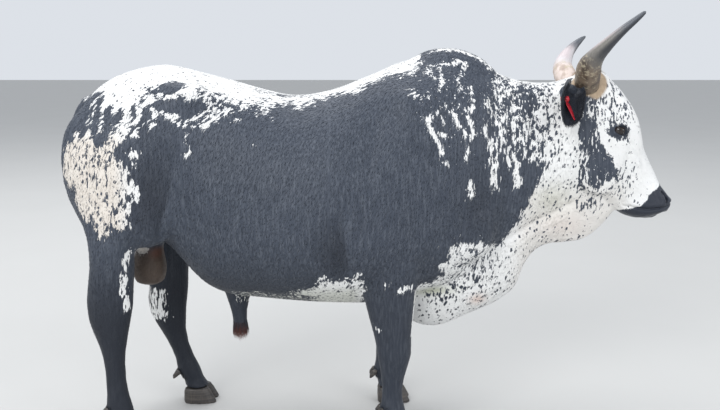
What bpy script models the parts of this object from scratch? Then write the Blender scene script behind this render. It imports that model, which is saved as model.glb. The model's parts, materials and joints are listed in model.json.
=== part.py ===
"""A life-size Nguni bull, standing: one closed solid for each part of the body.

The bull looks along +X with its right side towards -Y, and stands on the floor at Z = 0.
Masses of muscle and bone are blocked out, fused by a voxel remesh, softened, and parted
by thin cuts. Horns, ears, eyes, hooves and the tail's locks are made on their own.
All sizes are in metres.
"""

import math

import bmesh
import bpy
import numpy as np
from mathutils import Matrix, Vector

# How the pieces are fused and parted
GAP = 0.0003
VOXEL = 0.0065
BEYOND_SIDE = 0.45  # clear of the widest place of the body

# The head is turned a little to the bull's left and carried with its right side up
HEAD_PIVOT = Vector((0.76, 0.0, 1.22))
HEAD_YAW = math.radians(9.0)
HEAD_ROLL = math.radians(5.0)

# Eyes
EYE_RADIUS = 0.0210
EYE_SIDE = 0.0975
EYE_X, EYE_Z = 0.901, 1.113

# Feet
CORONET_Z = 0.062
CLEFT = 0.006

# Each station: top point (x, z), bottom point (x, z), half width, height of the widest
# place as a share from the bottom, and how boxy the section is (2 is an ellipse)
TORSO = (
    ((-1.005, 1.100), (-1.005, 0.980), 0.070, 0.50, 2.0),
    ((-0.992, 1.190), (-0.985, 0.860), 0.130, 0.55, 2.2),
    ((-0.955, 1.254), (-0.955, 0.790), 0.172, 0.55, 2.3),
    ((-0.880, 1.308), (-0.885, 0.750), 0.205, 0.56, 2.4),
    ((-0.770, 1.344), (-0.780, 0.735), 0.230, 0.60, 2.4),
    ((-0.690, 1.354), (-0.700, 0.695), 0.240, 0.62, 2.4),
    ((-0.640, 1.345), (-0.645, 0.635), 0.246, 0.61, 2.35),
    ((-0.590, 1.332), (-0.590, 0.570), 0.254, 0.59, 2.3),
    ((-0.470, 1.302), (-0.490, 0.514), 0.276, 0.50, 2.2),
    ((-0.350, 1.268), (-0.360, 0.500), 0.306, 0.44, 2.15),
    ((-0.230, 1.244), (-0.230, 0.490), 0.330, 0.42, 2.1),
    ((-0.090, 1.268), (-0.100, 0.483), 0.338, 0.41, 2.1),
    ((0.030, 1.314), (0.020, 0.480), 0.325, 0.42, 2.1),
    ((0.140, 1.356), (0.140, 0.488), 0.300, 0.44, 2.1),
    ((0.260, 1.370), (0.270, 0.520), 0.268, 0.46, 2.1),
    ((0.380, 1.347), (0.400, 0.570), 0.232, 0.48, 2.1),
    ((0.480, 1.294), (0.500, 0.660), 0.180, 0.50, 2.1),
    ((0.550, 1.150), (0.560, 0.800), 0.100, 0.50, 2.0),
)
NECK = (
    ((0.150, 1.300), (0.300, 0.600), 0.220, 0.45, 2.0),
    ((0.340, 1.335), (0.440, 0.610), 0.205, 0.45, 2.0),
    ((0.480, 1.325), (0.550, 0.680), 0.165, 0.45, 2.0),
    ((0.590, 1.297), (0.650, 0.770), 0.135, 0.45, 2.0),
    ((0.690, 1.293), (0.740, 0.840), 0.118, 0.48, 2.1),
    ((0.780, 1.318), (0.820, 0.900), 0.106, 0.50, 2.1),
    ((0.830, 1.320), (0.870, 0.930), 0.090, 0.50, 2.1),
)
DEWLAP = (
    ((0.880, 0.960), (0.936, 0.812), 0.040, 0.75, 1.7),
    ((0.850, 0.960), (0.895, 0.758), 0.052, 0.80, 1.5),
    ((0.790, 0.960), (0.840, 0.713), 0.068, 0.82, 1.4),
    ((0.720, 0.940), (0.768, 0.695), 0.080, 0.84, 1.35),
    ((0.650, 0.910), (0.702, 0.688), 0.090, 0.84, 1.35),
    ((0.580, 0.870), (0.650, 0.662), 0.100, 0.82, 1.4),
    ((0.510, 0.820), (0.612, 0.604), 0.108, 0.78, 1.5),
    ((0.450, 0.770), (0.584, 0.530), 0.112, 0.74, 1.6),
    ((0.390, 0.730), (0.524, 0.476), 0.115, 0.70, 1.6),
    ((0.320, 0.700), (0.408, 0.423), 0.115, 0.66, 1.7),
    ((0.250, 0.680), (0.297, 0.376), 0.108, 0.64, 1.7),
    ((0.190, 0.670), (0.200, 0.386), 0.095, 0.62, 1.8),
    ((0.120, 0.670), (0.125, 0.440), 0.070, 0.60, 1.8),
)
HEAD = (
    ((0.765, 1.300), (0.700, 1.180), 0.060, 0.55, 2.0),
    ((0.800, 1.330), (0.722, 1.120), 0.088, 0.60, 2.2),
    ((0.850, 1.336), (0.756, 1.030), 0.100, 0.68, 2.4),
    ((0.905, 1.293), (0.788, 0.955), 0.103, 0.70, 2.5),
    ((0.955, 1.233), (0.815, 0.915), 0.106, 0.72, 2.6),
    ((0.992, 1.172), (0.842, 0.888), 0.102, 0.74, 2.6),
    ((1.012, 1.115), (0.870, 0.866), 0.090, 0.74, 2.5),
    ((1.030, 1.060), (0.899, 0.848), 0.077, 0.66, 2.3),
    ((1.055, 1.010), (0.926, 0.832), 0.069, 0.60, 2.2),
    ((1.080, 0.962), (0.953, 0.812), 0.066, 0.56, 2.3),
    ((1.098, 0.920), (0.983, 0.798), 0.071, 0.55, 2.4),
    ((1.116, 0.893), (1.016, 0.790), 0.076, 0.55, 2.5),
    ((1.132, 0.870), (1.056, 0.794), 0.075, 0.55, 2.5),
    ((1.142, 0.854), (1.092, 0.806), 0.062, 0.55, 2.4),
    ((1.139, 0.842), (1.112, 0.818), 0.036, 0.55, 2.2),
)
# Each mass: centre on the left side, radii, and turn about Y in degrees
PAIRED_MASSES = {
    "shoulder_blade": ((0.225, 0.184, 1.000), (0.140, 0.085, 0.290), -14),
    "upper_arm": ((0.150, 0.205, 0.800), (0.150, 0.078, 0.150), 12),
    "shoulder_point": ((0.355, 0.148, 0.805), (0.130, 0.088, 0.160), 0),
    "thigh": ((-0.835, 0.168, 0.960), (0.170, 0.092, 0.250), 8),
    "buttock": ((-0.960, 0.118, 0.985), (0.092, 0.080, 0.205), -4),
    "stifle": ((-0.735, 0.188, 0.835), (0.105, 0.064, 0.125), 20),
    "hook_bone": ((-0.585, 0.178, 1.224), (0.105, 0.052, 0.072), 12),
    "pin_bone": ((-0.946, 0.095, 1.150), (0.066, 0.050, 0.070), 0),
}
SINGLE_MASSES = {
    "hump_core": ((0.335, 0.0, 1.285), (0.185, 0.092, 0.128), 14),
    "withers": ((0.200, 0.0, 1.300), (0.150, 0.075, 0.075), -6),
    "tail_head": ((-0.972, 0.0, 1.205), (0.055, 0.034, 0.040), 34),
    "perineum": ((-0.905, 0.0, 0.850), (0.080, 0.080, 0.120), 0),
}
HEAD_MASSES = {
    "orbit": ((0.908, 0.082, 1.120), (0.052, 0.036, 0.042), 60),
    "brow": ((0.930, 0.078, 1.162), (0.060, 0.030, 0.026), 62),
    "cheek": ((0.862, 0.054, 1.000), (0.110, 0.037, 0.122), 30),
    "horn_boss": ((0.803, 0.058, 1.284), (0.044, 0.044, 0.044), 0),
    "nostril_wing": ((1.076, 0.054, 0.868), (0.030, 0.019, 0.024), 50),
    "upper_lip": ((1.080, 0.038, 0.845), (0.052, 0.034, 0.026), 30),
    "facial_crest": ((0.965, 0.072, 1.030), (0.060, 0.016, 0.016), 60),
    "ear_root": ((0.726, 0.076, 1.253), (0.031, 0.033, 0.031), 0),
}
CHIN = ((1.045, 0.0, 0.812), (0.060, 0.042, 0.024), 8)

# Each joint down a leg: x, side, z, half depth fore and aft, half width
FORELEG = (
    (0.190, 0.185, 0.860, 0.115, 0.070),
    (0.125, 0.192, 0.720, 0.118, 0.076),
    (0.106, 0.192, 0.620, 0.104, 0.072),
    (0.106, 0.190, 0.530, 0.091, 0.063),
    (0.113, 0.188, 0.440, 0.075, 0.055),
    (0.119, 0.186, 0.380, 0.066, 0.053),
    (0.122, 0.186, 0.330, 0.062, 0.053),
    (0.120, 0.186, 0.280, 0.051, 0.045),
    (0.117, 0.186, 0.220, 0.040, 0.035),
    (0.116, 0.186, 0.165, 0.039, 0.035),
    (0.119, 0.186, 0.122, 0.047, 0.043),
    (0.131, 0.186, 0.088, 0.043, 0.041),
    (0.143, 0.186, 0.062, 0.049, 0.049),
    (0.147, 0.186, 0.045, 0.050, 0.050),
)
HIND_LEG = (
    (-0.805, 0.160, 0.930, 0.165, 0.090),
    (-0.835, 0.180, 0.820, 0.135, 0.082),
    (-0.868, 0.186, 0.730, 0.084, 0.074),
    (-0.869, 0.187, 0.660, 0.082, 0.068),
    (-0.879, 0.186, 0.580, 0.083, 0.058),
    (-0.886, 0.184, 0.510, 0.083, 0.050),
    (-0.889, 0.183, 0.450, 0.073, 0.048),
    (-0.886, 0.182, 0.395, 0.058, 0.045),
    (-0.882, 0.182, 0.330, 0.042, 0.037),
    (-0.879, 0.182, 0.240, 0.037, 0.032),
    (-0.876, 0.182, 0.178, 0.040, 0.035),
    (-0.871, 0.182, 0.132, 0.047, 0.042),
    (-0.857, 0.182, 0.092, 0.042, 0.040),
    (-0.845, 0.182, 0.062, 0.048, 0.048),
    (-0.841, 0.182, 0.045, 0.049, 0.049),
)
LEFT_HIND_LEG = (
    (-0.800, 0.160, 0.930, 0.165, 0.090),
    (-0.790, 0.180, 0.820, 0.135, 0.082),
    (-0.775, 0.186, 0.720, 0.100, 0.074),
    (-0.765, 0.187, 0.640, 0.088, 0.068),
    (-0.762, 0.186, 0.560, 0.081, 0.058),
    (-0.764, 0.184, 0.480, 0.079, 0.050),
    (-0.771, 0.183, 0.415, 0.078, 0.048),
    (-0.766, 0.182, 0.355, 0.068, 0.045),
    (-0.752, 0.182, 0.300, 0.052, 0.039),
    (-0.728, 0.182, 0.230, 0.040, 0.033),
    (-0.708, 0.182, 0.175, 0.041, 0.035),
    (-0.694, 0.182, 0.132, 0.047, 0.042),
    (-0.676, 0.182, 0.092, 0.042, 0.040),
    (-0.662, 0.182, 0.062, 0.048, 0.048),
    (-0.658, 0.182, 0.045, 0.049, 0.049),
)
# How far each joint of the left foreleg stands ahead of the right foreleg's, top joint first
LEFT_FORELEG_AHEAD = np.linspace(0.0, -0.022, len(FORELEG))

# Horns from root to tip, as x, y, z and radius; the left one is the shorter
RIGHT_HORN = (
    (0.800, -0.060, 1.275, 0.0430),
    (0.792, -0.100, 1.318, 0.0430),
    (0.790, -0.128, 1.350, 0.0400),
    (0.805, -0.155, 1.384, 0.0310),
    (0.835, -0.180, 1.423, 0.0235),
    (0.871, -0.200, 1.462, 0.0175),
    (0.909, -0.214, 1.497, 0.0125),
    (0.931, -0.220, 1.517, 0.0085),
    (0.939, -0.222, 1.524, 0.0045),
)
LEFT_HORN = (
    (0.776, 0.055, 1.272, 0.0410),
    (0.760, 0.090, 1.312, 0.0410),
    (0.757, 0.118, 1.346, 0.0345),
    (0.778, 0.150, 1.386, 0.0250),
    (0.808, 0.172, 1.418, 0.0180),
    (0.836, 0.184, 1.442, 0.0115),
    (0.850, 0.188, 1.452, 0.0070),
    (0.856, 0.190, 1.457, 0.0040),
)

COLOURS = {
    "black_coat": (0.030, 0.032, 0.040),
    "white_coat": (0.78, 0.76, 0.71),
    "horn": (0.20, 0.17, 0.14),
    "hoof": (0.035, 0.032, 0.030),
    "eye": (0.012, 0.008, 0.006),
    "scrotum": (0.20, 0.14, 0.10),
    "tag": (0.55, 0.02, 0.03),
}

# Softening of the fused body
SOFTENING = 140
LEG_SOFTNESS = 0.06
DEWLAP_SOFTNESS = 0.10
HEAD_SOFTNESS = 0.02

# Triangles left in the fused body, behind and ahead of where the head starts
TRUNK_TRIANGLES = 5200
HEAD_TRIANGLES = 2500
HEAD_START = 0.70
HEAD_OVERLAP = 0.01

# Hanging parts, as x, y, z and radius from top to bottom
SCROTUM = (
    (-0.775, 0.0, 0.780, 0.060),
    (-0.780, 0.0, 0.715, 0.052),
    (-0.785, 0.0, 0.665, 0.056),
    (-0.788, 0.0, 0.615, 0.066),
    (-0.787, 0.0, 0.570, 0.060),
    (-0.785, 0.0, 0.542, 0.036),
    (-0.785, 0.0, 0.535, 0.012),
)
SHEATH = (
    (-0.465, 0.0, 0.620, 0.075),
    (-0.460, 0.0, 0.540, 0.058),
    (-0.458, 0.0, 0.480, 0.042),
    (-0.456, 0.0, 0.430, 0.031),
    (-0.454, 0.0, 0.385, 0.027),
    (-0.453, 0.0, 0.356, 0.026),
    (-0.453, 0.0, 0.345, 0.016),
)
TAIL = (
    (-0.942, 0.000, 1.224, 0.0330),
    (-0.984, 0.000, 1.202, 0.0320),
    (-1.011, 0.002, 1.168, 0.0285),
    (-1.031, 0.006, 1.100, 0.0245),
    (-1.036, 0.012, 0.960, 0.0210),
    (-1.020, 0.018, 0.830, 0.0185),
    (-1.004, 0.024, 0.700, 0.0165),
    (-0.998, 0.026, 0.640, 0.0175),
    (-0.994, 0.028, 0.570, 0.0250),
    (-0.992, 0.029, 0.510, 0.0220),
    (-0.991, 0.030, 0.460, 0.0090),
)

# The lids stand over the eyeball on the left side of the head, as x, side, z, radius
UPPER_LID = (
    (0.926, 0.100, 1.094, 0.0055),
    (0.922, 0.112, 1.111, 0.0075),
    (0.908, 0.118, 1.127, 0.0085),
    (0.889, 0.115, 1.133, 0.0080),
    (0.873, 0.104, 1.126, 0.0060),
)
LOWER_LID = (
    (0.926, 0.100, 1.094, 0.0055),
    (0.912, 0.112, 1.093, 0.0060),
    (0.896, 0.115, 1.099, 0.0065),
    (0.882, 0.111, 1.110, 0.0060),
    (0.873, 0.104, 1.126, 0.0060),
)

# Ears, given for the bull's right side
EAR_ROOT = (0.731, -0.084, 1.273)
EAR_TIP = (0.703, -0.212, 1.156)
EAR_OPENING = (0.45, -0.80, 0.35)
EAR_LENGTH = 0.174
LEFT_EAR_SHIFT = (-0.020, 0.0, -0.022)
EAR_SHARES = (0.0, 0.15, 0.30, 0.50, 0.70, 0.85, 0.95, 1.0)
EAR_HALF_WIDTHS = (0.025, 0.034, 0.043, 0.049, 0.048, 0.038, 0.025, 0.008)
EAR_CURLS = (140.0, 112.0, 84.0, 62.0, 52.0, 46.0, 40.0, 36.0)
EAR_THICKNESS = 0.007
EAR_SAG = -0.012

# One toe, from the hairline to the sole: height, rear, front, width, and roundness
CLAW_RINGS = (
    (CORONET_Z - GAP, -0.046, 0.048, 0.048, 2.3),
    (0.046, -0.051, 0.059, 0.052, 2.4),
    (0.006, -0.052, 0.080, 0.054, 2.6),
    (0.0, -0.049, 0.078, 0.051, 2.6),
)
# Dewclaws, behind and above the hoof: back, beside, up, and radius
DEWCLAW = (
    (-0.030, 0.020, 0.128, 0.011),
    (-0.044, 0.022, 0.122, 0.012),
    (-0.056, 0.023, 0.108, 0.009),
    (-0.061, 0.023, 0.098, 0.003),
)

# Ear tag, from the button's centre: a pin through the ear and a flag that hangs in front
TAG_PLACE = (0.47, -0.42)
TAG_BUTTON_RADIUS, TAG_BUTTON_DEPTH = 0.014, 0.003
TAG_PIN_RADIUS = 0.0035
TAG_SLACK = 0.0035
FLAG_WIDTH, FLAG_HEIGHT, FLAG_DEPTH = 0.040, 0.054, 0.0022
FLAG_LEAN = math.radians(13.0)

# Tail switch
LOCK_COUNT = 14
SWITCH_TOP, SWITCH_FOOT = 0.650, 0.270
LOCK_DROP = 0.010

# Seams, as outlines in X and Z: every block parts one piece from the body
HEAD_SEAM = ((0.728, 1.60), (0.735, 1.32), (0.800, 0.85), (0.80, 0.55), (1.40, 0.55), (1.40, 1.60))
HUMP_SEAM = ((0.175, 1.60), (0.185, 1.345), (0.330, 1.318), (0.530, 1.290), (0.545, 1.60))
DEWLAP_SEAM = ((0.82, 0.81), (0.62, 0.735), (0.44, 0.640), (0.29, 0.560), (0.215, 0.300), (0.86, 0.30))
NECK_SEAM = ((0.505, 1.60), (0.520, 1.10), (0.500, 0.655), (0.62, 0.50), (0.90, 0.50), (0.90, 1.60))
FORELEG_SEAM = (
    (-0.010, 0.590), (-0.010, 0.500), (-0.045, 0.450), (-0.045, CORONET_Z), (0.240, CORONET_Z),
    (0.240, 0.470), (0.215, 0.520), (0.205, 0.590),
)
HIND_LEG_SEAM = (
    (-1.08, 0.760), (-1.08, CORONET_Z), (-0.700, CORONET_Z), (-0.755, 0.600), (-0.762, 0.752),
)
LEFT_HIND_LEG_SEAM = (
    (-1.08, 0.760), (-1.08, CORONET_Z), (-0.560, CORONET_Z), (-0.640, 0.550), (-0.662, 0.660),
    (-0.700, 0.748),
)
SCROTUM_SEAM = ((-0.88, 0.690), (-0.88, 0.45), (-0.69, 0.45), (-0.69, 0.690))
SWITCH_SEAM = ((-1.20, SWITCH_TOP), (-1.20, 0.30), (-0.80, 0.30), (-0.80, SWITCH_TOP))
SHEATH_SEAM = ((-0.56, 0.470), (-0.56, 0.30), (-0.38, 0.30), (-0.38, 0.470))

# Each piece parted from the body in turn: its outline and how far it reaches across
SEAMS = {
    "hump": (HUMP_SEAM, -BEYOND_SIDE, BEYOND_SIDE),
    "foreleg_right": (FORELEG_SEAM, -BEYOND_SIDE, -0.098),
    "foreleg_left": (FORELEG_SEAM, 0.098, BEYOND_SIDE),
    "dewlap": (DEWLAP_SEAM, -BEYOND_SIDE, BEYOND_SIDE),
    "scrotum": (SCROTUM_SEAM, -0.074, 0.074),
    "hindleg_right": (HIND_LEG_SEAM, -BEYOND_SIDE, -0.075),
    "hindleg_left": (LEFT_HIND_LEG_SEAM, 0.075, BEYOND_SIDE),
    "sheath": (SHEATH_SEAM, -0.20, 0.20),
}

# Relief: a line in X and Z, its reach, its height, and the side it lies on (0 is both)
BODY_RELIEF = (
    (((-0.545, 1.130), (-0.520, 1.040)), 0.090, -0.014, 0),
    (((-0.60, 1.215), (-0.72, 1.270), (-0.86, 1.250)), 0.060, -0.006, 0),
    (((0.060, 1.180), (0.020, 1.000), (0.015, 0.800)), 0.055, -0.008, 0),
    (((-0.650, 1.020), (-0.620, 0.880), (-0.660, 0.760)), 0.050, -0.009, 0),
    (((0.300, 1.200), (0.250, 1.020), (0.300, 0.860)), 0.030, -0.005, 0),
    (((0.470, 1.220), (0.440, 1.020), (0.430, 0.860)), 0.026, -0.007, 0),
    (((0.540, 1.200), (0.510, 1.000), (0.520, 0.800)), 0.024, -0.004, 0),
    (((0.610, 1.180), (0.590, 1.000), (0.620, 0.850)), 0.022, -0.003, 0),
    (((0.780, 0.860), (0.640, 0.790), (0.520, 0.720), (0.390, 0.640)), 0.022, -0.006, 0),
    (((0.700, 0.745), (0.610, 0.700), (0.560, 0.600), (0.450, 0.520)), 0.014, 0.005, 0),
    (((-0.895, 0.410), (-0.892, 0.200)), 0.010, -0.002, 0),
)
HEAD_RELIEF = (
    (((1.134, 0.848), (1.096, 0.831), (1.030, 0.826), (0.962, 0.836)), 0.006, -0.0055, 0),
    (((1.091, 0.886), (1.102, 0.876), (1.107, 0.862), (1.103, 0.850)), 0.0065, -0.0085, 0),
    (((1.078, 0.880), (1.086, 0.860)), 0.008, 0.003, 0),
    (((0.908, 1.106), (0.886, 1.116)), 0.0115, -0.0100, 0),
    (((0.931, 1.138), (0.901, 1.154), (0.868, 1.148)), 0.0050, -0.0030, 0),
    (((0.931, 1.078), (0.901, 1.076), (0.876, 1.090)), 0.0045, -0.0022, 0),
    (((0.935, 1.085), (0.985, 1.020), (1.030, 0.950)), 0.010, -0.0025, 0),
    (((0.880, 0.950), (0.930, 0.880), (0.955, 0.850)), 0.012, -0.003, 0),
    (((0.850, 1.210), (0.880, 1.180)), 0.022, -0.005, 0),
)


def clear_scene():
    """Start from an empty scene."""
    for item in list(bpy.data.objects):
        bpy.data.objects.remove(item, do_unlink=True)


def new_collection(name):
    """Make a collection in the scene."""
    group = bpy.data.collections.new(name)
    bpy.context.scene.collection.children.link(group)
    return group


def mesh_object(name, points, faces, group):
    """Make an object from points and faces, with its faces turned outwards."""
    mesh = bpy.data.meshes.new(name)
    mesh.from_pydata([tuple(point) for point in points], [], faces)
    work = bmesh.new()
    work.from_mesh(mesh)
    bmesh.ops.recalc_face_normals(work, faces=work.faces[:])
    work.to_mesh(mesh)
    work.free()
    item = bpy.data.objects.new(name, mesh)
    group.objects.link(item)
    return item


def drop(item):
    """Remove an object and its mesh."""
    mesh = item.data
    bpy.data.objects.remove(item, do_unlink=True)
    bpy.data.meshes.remove(mesh)


def bake(item):
    """Apply every modifier of an object."""
    graph = bpy.context.evaluated_depsgraph_get()
    mesh = bpy.data.meshes.new_from_object(item.evaluated_get(graph))
    old = item.data
    item.modifiers.clear()
    item.data = mesh
    bpy.data.meshes.remove(old)


def read_points(mesh):
    """All points of a mesh as rows."""
    flat = np.empty(len(mesh.vertices) * 3)
    mesh.vertices.foreach_get("co", flat)
    return flat.reshape(-1, 3)


def read_normals(mesh):
    """The normal at every point of a mesh as rows."""
    flat = np.empty(len(mesh.vertices) * 3)
    mesh.vertices.foreach_get("normal", flat)
    return flat.reshape(-1, 3)


def write_points(mesh, rows):
    """Put moved points back into a mesh."""
    mesh.vertices.foreach_set("co", np.ascontiguousarray(rows).ravel())
    mesh.update()


def smooth_rows(rows, per_span):
    """Rows of numbers joined by cubic curves that pass through every row."""
    table = np.array(rows, dtype=float)
    steps = np.linalg.norm(np.diff(table[:, :3], axis=0), axis=1)
    knots = np.concatenate(([0.0], np.cumsum(steps)))
    slopes = np.gradient(table, knots, axis=0)
    result = []
    for index in range(len(table) - 1):
        span = knots[index + 1] - knots[index]
        for step in range(per_span):
            t = step / per_span
            start = (2 * t**3 - 3 * t**2 + 1) * table[index]
            leave = (t**3 - 2 * t**2 + t) * span * slopes[index]
            end = (3 * t**2 - 2 * t**3) * table[index + 1]
            arrive = (t**3 - t**2) * span * slopes[index + 1]
            result.append(start + leave + end + arrive)
    result.append(table[-1])
    return np.array(result)


def skin_rings(name, rings, group):
    """Close a row of rings into one body with flat ends."""
    count = len(rings[0])
    points = [point for ring in rings for point in ring]
    faces = [list(range(count))]
    for level in range(len(rings) - 1):
        for step in range(count):
            after = (step + 1) % count
            low, high = level * count, (level + 1) * count
            faces.append([low + step, low + after, high + after, high + step])
    last = (len(rings) - 1) * count
    faces.append(list(range(last, last + count)))
    return mesh_object(name, points, faces, group)


def superellipse(angle, power):
    """The place at an angle on a unit superellipse."""
    across = math.copysign(abs(math.cos(angle)) ** (2.0 / power), math.cos(angle))
    along = math.copysign(abs(math.sin(angle)) ** (2.0 / power), math.sin(angle))
    return across, along


def trunk_part(name, stations, group, sides=40, per_span=4):
    """A body lofted through stations that stand across its length."""
    rows = [(s[0][0], s[0][1], s[1][0], s[1][1], s[2], s[3], s[4]) for s in stations]
    rings = []
    for top_x, top_z, low_x, low_z, half_width, share, power in smooth_rows(rows, per_span):
        ring = []
        for step in range(sides):
            across, along = superellipse(2.0 * math.pi * (step + 0.5) / sides, power)
            height = share + along * ((1.0 - share) if along > 0.0 else share)
            x = low_x + (top_x - low_x) * height
            z = low_z + (top_z - low_z) * height
            ring.append(Vector((x, half_width * across, z)))
        rings.append(ring)
    return skin_rings(name, rings, group)


def limb(name, rows, group, sides=24, per_span=3):
    """A leg lofted through level sections."""
    rings = []
    for x, y, z, half_depth, half_width in smooth_rows(rows, per_span):
        ring = []
        for step in range(sides):
            angle = 2.0 * math.pi * step / sides
            ring.append(Vector((x + half_depth * math.cos(angle), y + half_width * math.sin(angle), z)))
        rings.append(ring)
    return skin_rings(name, rings, group)


def ball(name, centre, radii, turn, group, segments=24, rings=16):
    """A rounded mass, turned about the Y axis."""
    work = bmesh.new()
    turned = Matrix.Rotation(math.radians(turn), 4, "Y")
    place = Matrix.Translation(centre) @ turned @ Matrix.Diagonal((*radii, 1.0))
    bmesh.ops.create_uvsphere(work, u_segments=segments, v_segments=rings, radius=1.0, matrix=place)
    mesh = bpy.data.meshes.new(name)
    work.to_mesh(mesh)
    work.free()
    item = bpy.data.objects.new(name, mesh)
    group.objects.link(item)
    return item


def tube(name, rows, group, resolution=3):
    """A round body that follows rows of x, y, z and radius, with filled ends."""
    curve = bpy.data.curves.new(name, "CURVE")
    curve.dimensions = "3D"
    curve.bevel_depth = 1.0
    curve.bevel_resolution = resolution
    curve.use_fill_caps = True
    spline = curve.splines.new("POLY")
    spline.points.add(len(rows) - 1)
    for point, (x, y, z, radius) in zip(spline.points, rows):
        point.co = (x, y, z, 1.0)
        point.radius = radius
    line = bpy.data.objects.new(name + "_line", curve)
    group.objects.link(line)
    graph = bpy.context.evaluated_depsgraph_get()
    mesh = bpy.data.meshes.new_from_object(line.evaluated_get(graph))
    work = bmesh.new()
    work.from_mesh(mesh)
    bmesh.ops.remove_doubles(work, verts=work.verts[:], dist=0.00001)
    bmesh.ops.recalc_face_normals(work, faces=work.faces[:])
    work.to_mesh(mesh)
    work.free()
    item = bpy.data.objects.new(name, mesh)
    item.matrix_world = line.matrix_world.copy()
    group.objects.link(item)
    bpy.data.objects.remove(line, do_unlink=True)
    bpy.data.curves.remove(curve)
    return item


def flat_lock(name, rows, group, sides, flat, turn):
    """A flattened, tapering strand that follows rows of x, y, z and half width."""
    centres = [Vector(row[:3]) for row in rows]
    across = (centres[1] - centres[0]).normalized().orthogonal().normalized()
    rings = []
    for index, centre in enumerate(centres):
        before = centres[max(index - 1, 0)]
        after = centres[min(index + 1, len(centres) - 1)]
        ahead = (after - before).normalized()
        across = (across - ahead * across.dot(ahead)).normalized()
        beside = ahead.cross(across)
        ring = []
        for step in range(sides):
            angle = 2.0 * math.pi * step / sides
            wide = math.cos(angle) * rows[index][3]
            thick = math.sin(angle) * rows[index][3] * flat
            u = wide * math.cos(turn) - thick * math.sin(turn)
            v = wide * math.sin(turn) + thick * math.cos(turn)
            ring.append(centre + across * u + beside * v)
        rings.append(ring)
    return skin_rings(name, rings, group)


def head_turn():
    """The move that turns and tilts the head on the neck."""
    there = Matrix.Translation(HEAD_PIVOT)
    turned = Matrix.Rotation(HEAD_YAW, 4, "Z") @ Matrix.Rotation(-HEAD_ROLL, 4, "X")
    return there @ turned @ there.inverted()


def mirrored(centre, side):
    """A left-side place, moved to the wanted side."""
    return (centre[0], centre[1] * side, centre[2])


def fuse(items, name, group):
    """Join closed bodies and fuse them into one by a voxel remesh."""
    points = []
    faces = []
    for item in items:
        start = len(points)
        points.extend(item.matrix_world @ v.co for v in item.data.vertices)
        faces.extend([start + i for i in face.vertices] for face in item.data.polygons)
        drop(item)
    whole = mesh_object(name, points, faces, group)
    remesh = whole.modifiers.new("fuse", "REMESH")
    remesh.mode = "VOXEL"
    remesh.voxel_size = VOXEL
    bake(whole)
    return whole


def blend(values, low, high):
    """A soft step from 0 at low to 1 at high."""
    t = np.clip((values - low) / (high - low), 0.0, 1.0)
    return t * t * (3.0 - 2.0 * t)


def flesh_masses(group):
    """Every mass of the body, head and legs before they are fused."""
    items = [
        trunk_part("trunk_mass", TORSO, group),
        trunk_part("neck_mass", NECK, group),
        trunk_part("dewlap_mass", DEWLAP, group, sides=28),
    ]
    for name, (centre, radii, turn) in SINGLE_MASSES.items():
        items.append(ball(name, centre, radii, turn, group))
    for name, (centre, radii, turn) in PAIRED_MASSES.items():
        for side in (-1, 1):
            items.append(ball(name, mirrored(centre, side), radii, turn, group))
    for side in (-1, 1):
        fore = np.array(FORELEG)
        hind = np.array(LEFT_HIND_LEG if side > 0 else HIND_LEG)
        if side > 0:
            fore[:, 0] += LEFT_FORELEG_AHEAD
        fore[:, 1] *= side
        hind[:, 1] *= side
        items.append(limb("foreleg_mass", fore, group))
        items.append(limb("hindleg_mass", hind, group))
    items.append(tube("scrotum_mass", smooth_rows(SCROTUM, 4), group, resolution=8))
    items.append(tube("sheath_mass", smooth_rows(SHEATH, 4), group, resolution=8))
    items.extend(head_masses(group))
    return items


def head_masses(group):
    """The skull, cheeks, lids and lips, turned as the head is carried."""
    items = [trunk_part("head_mass", HEAD, group, sides=36)]
    items.append(ball("chin", CHIN[0], CHIN[1], CHIN[2], group))
    for name, (centre, radii, turn) in HEAD_MASSES.items():
        for side in (-1, 1):
            items.append(ball(name, mirrored(centre, side), radii, turn, group))
    for side in (-1, 1):
        for lid in (UPPER_LID, LOWER_LID):
            rows = [(x, y * side, z, radius) for x, y, z, radius in lid]
            items.append(tube("lid", smooth_rows(rows, 3), group))
    turn = head_turn()
    for item in items:
        item.data.transform(turn)
    return items


def softness(rows):
    """How strongly each point is softened: full on the trunk, light on legs and head."""
    x, y, z = rows.T
    legs = 1.0 - blend(z, 0.52, 0.78)
    middle = 1.0 - blend(np.abs(y), 0.07, 0.11)
    legs = legs * (1.0 - middle * blend(x, -0.62, -0.56))
    head = blend(x, 0.70, 0.80)
    hanging = (1.0 - blend(z, 0.52, 0.60)) * (1.0 - blend(x, -0.36, -0.30))
    line = np.interp(x, (0.10, 0.95), (0.52, 0.95))
    flap = (1.0 - blend(z - line, 0.0, 0.12)) * blend(x, 0.16, 0.26)
    soft = np.ones(len(rows))
    soft = np.minimum(soft, 1.0 - (1.0 - DEWLAP_SOFTNESS) * flap)
    soft = np.minimum(soft, 1.0 - (1.0 - LEG_SOFTNESS) * legs)
    soft = np.minimum(soft, 1.0 - (1.0 - HEAD_SOFTNESS) * head)
    return np.minimum(soft, 1.0 - (1.0 - LEG_SOFTNESS) * hanging)


def soften(item):
    """Blend the masses into one another."""
    group = item.vertex_groups.new(name="soften")
    shares = np.round(softness(read_points(item.data)), 3)
    for share in np.unique(shares):
        members = np.nonzero(shares == share)[0].tolist()
        group.add(members, float(share), "REPLACE")
    smooth = item.modifiers.new("soften", "SMOOTH")
    smooth.factor = 0.5
    smooth.iterations = SOFTENING
    smooth.vertex_group = "soften"
    bake(item)


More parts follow.
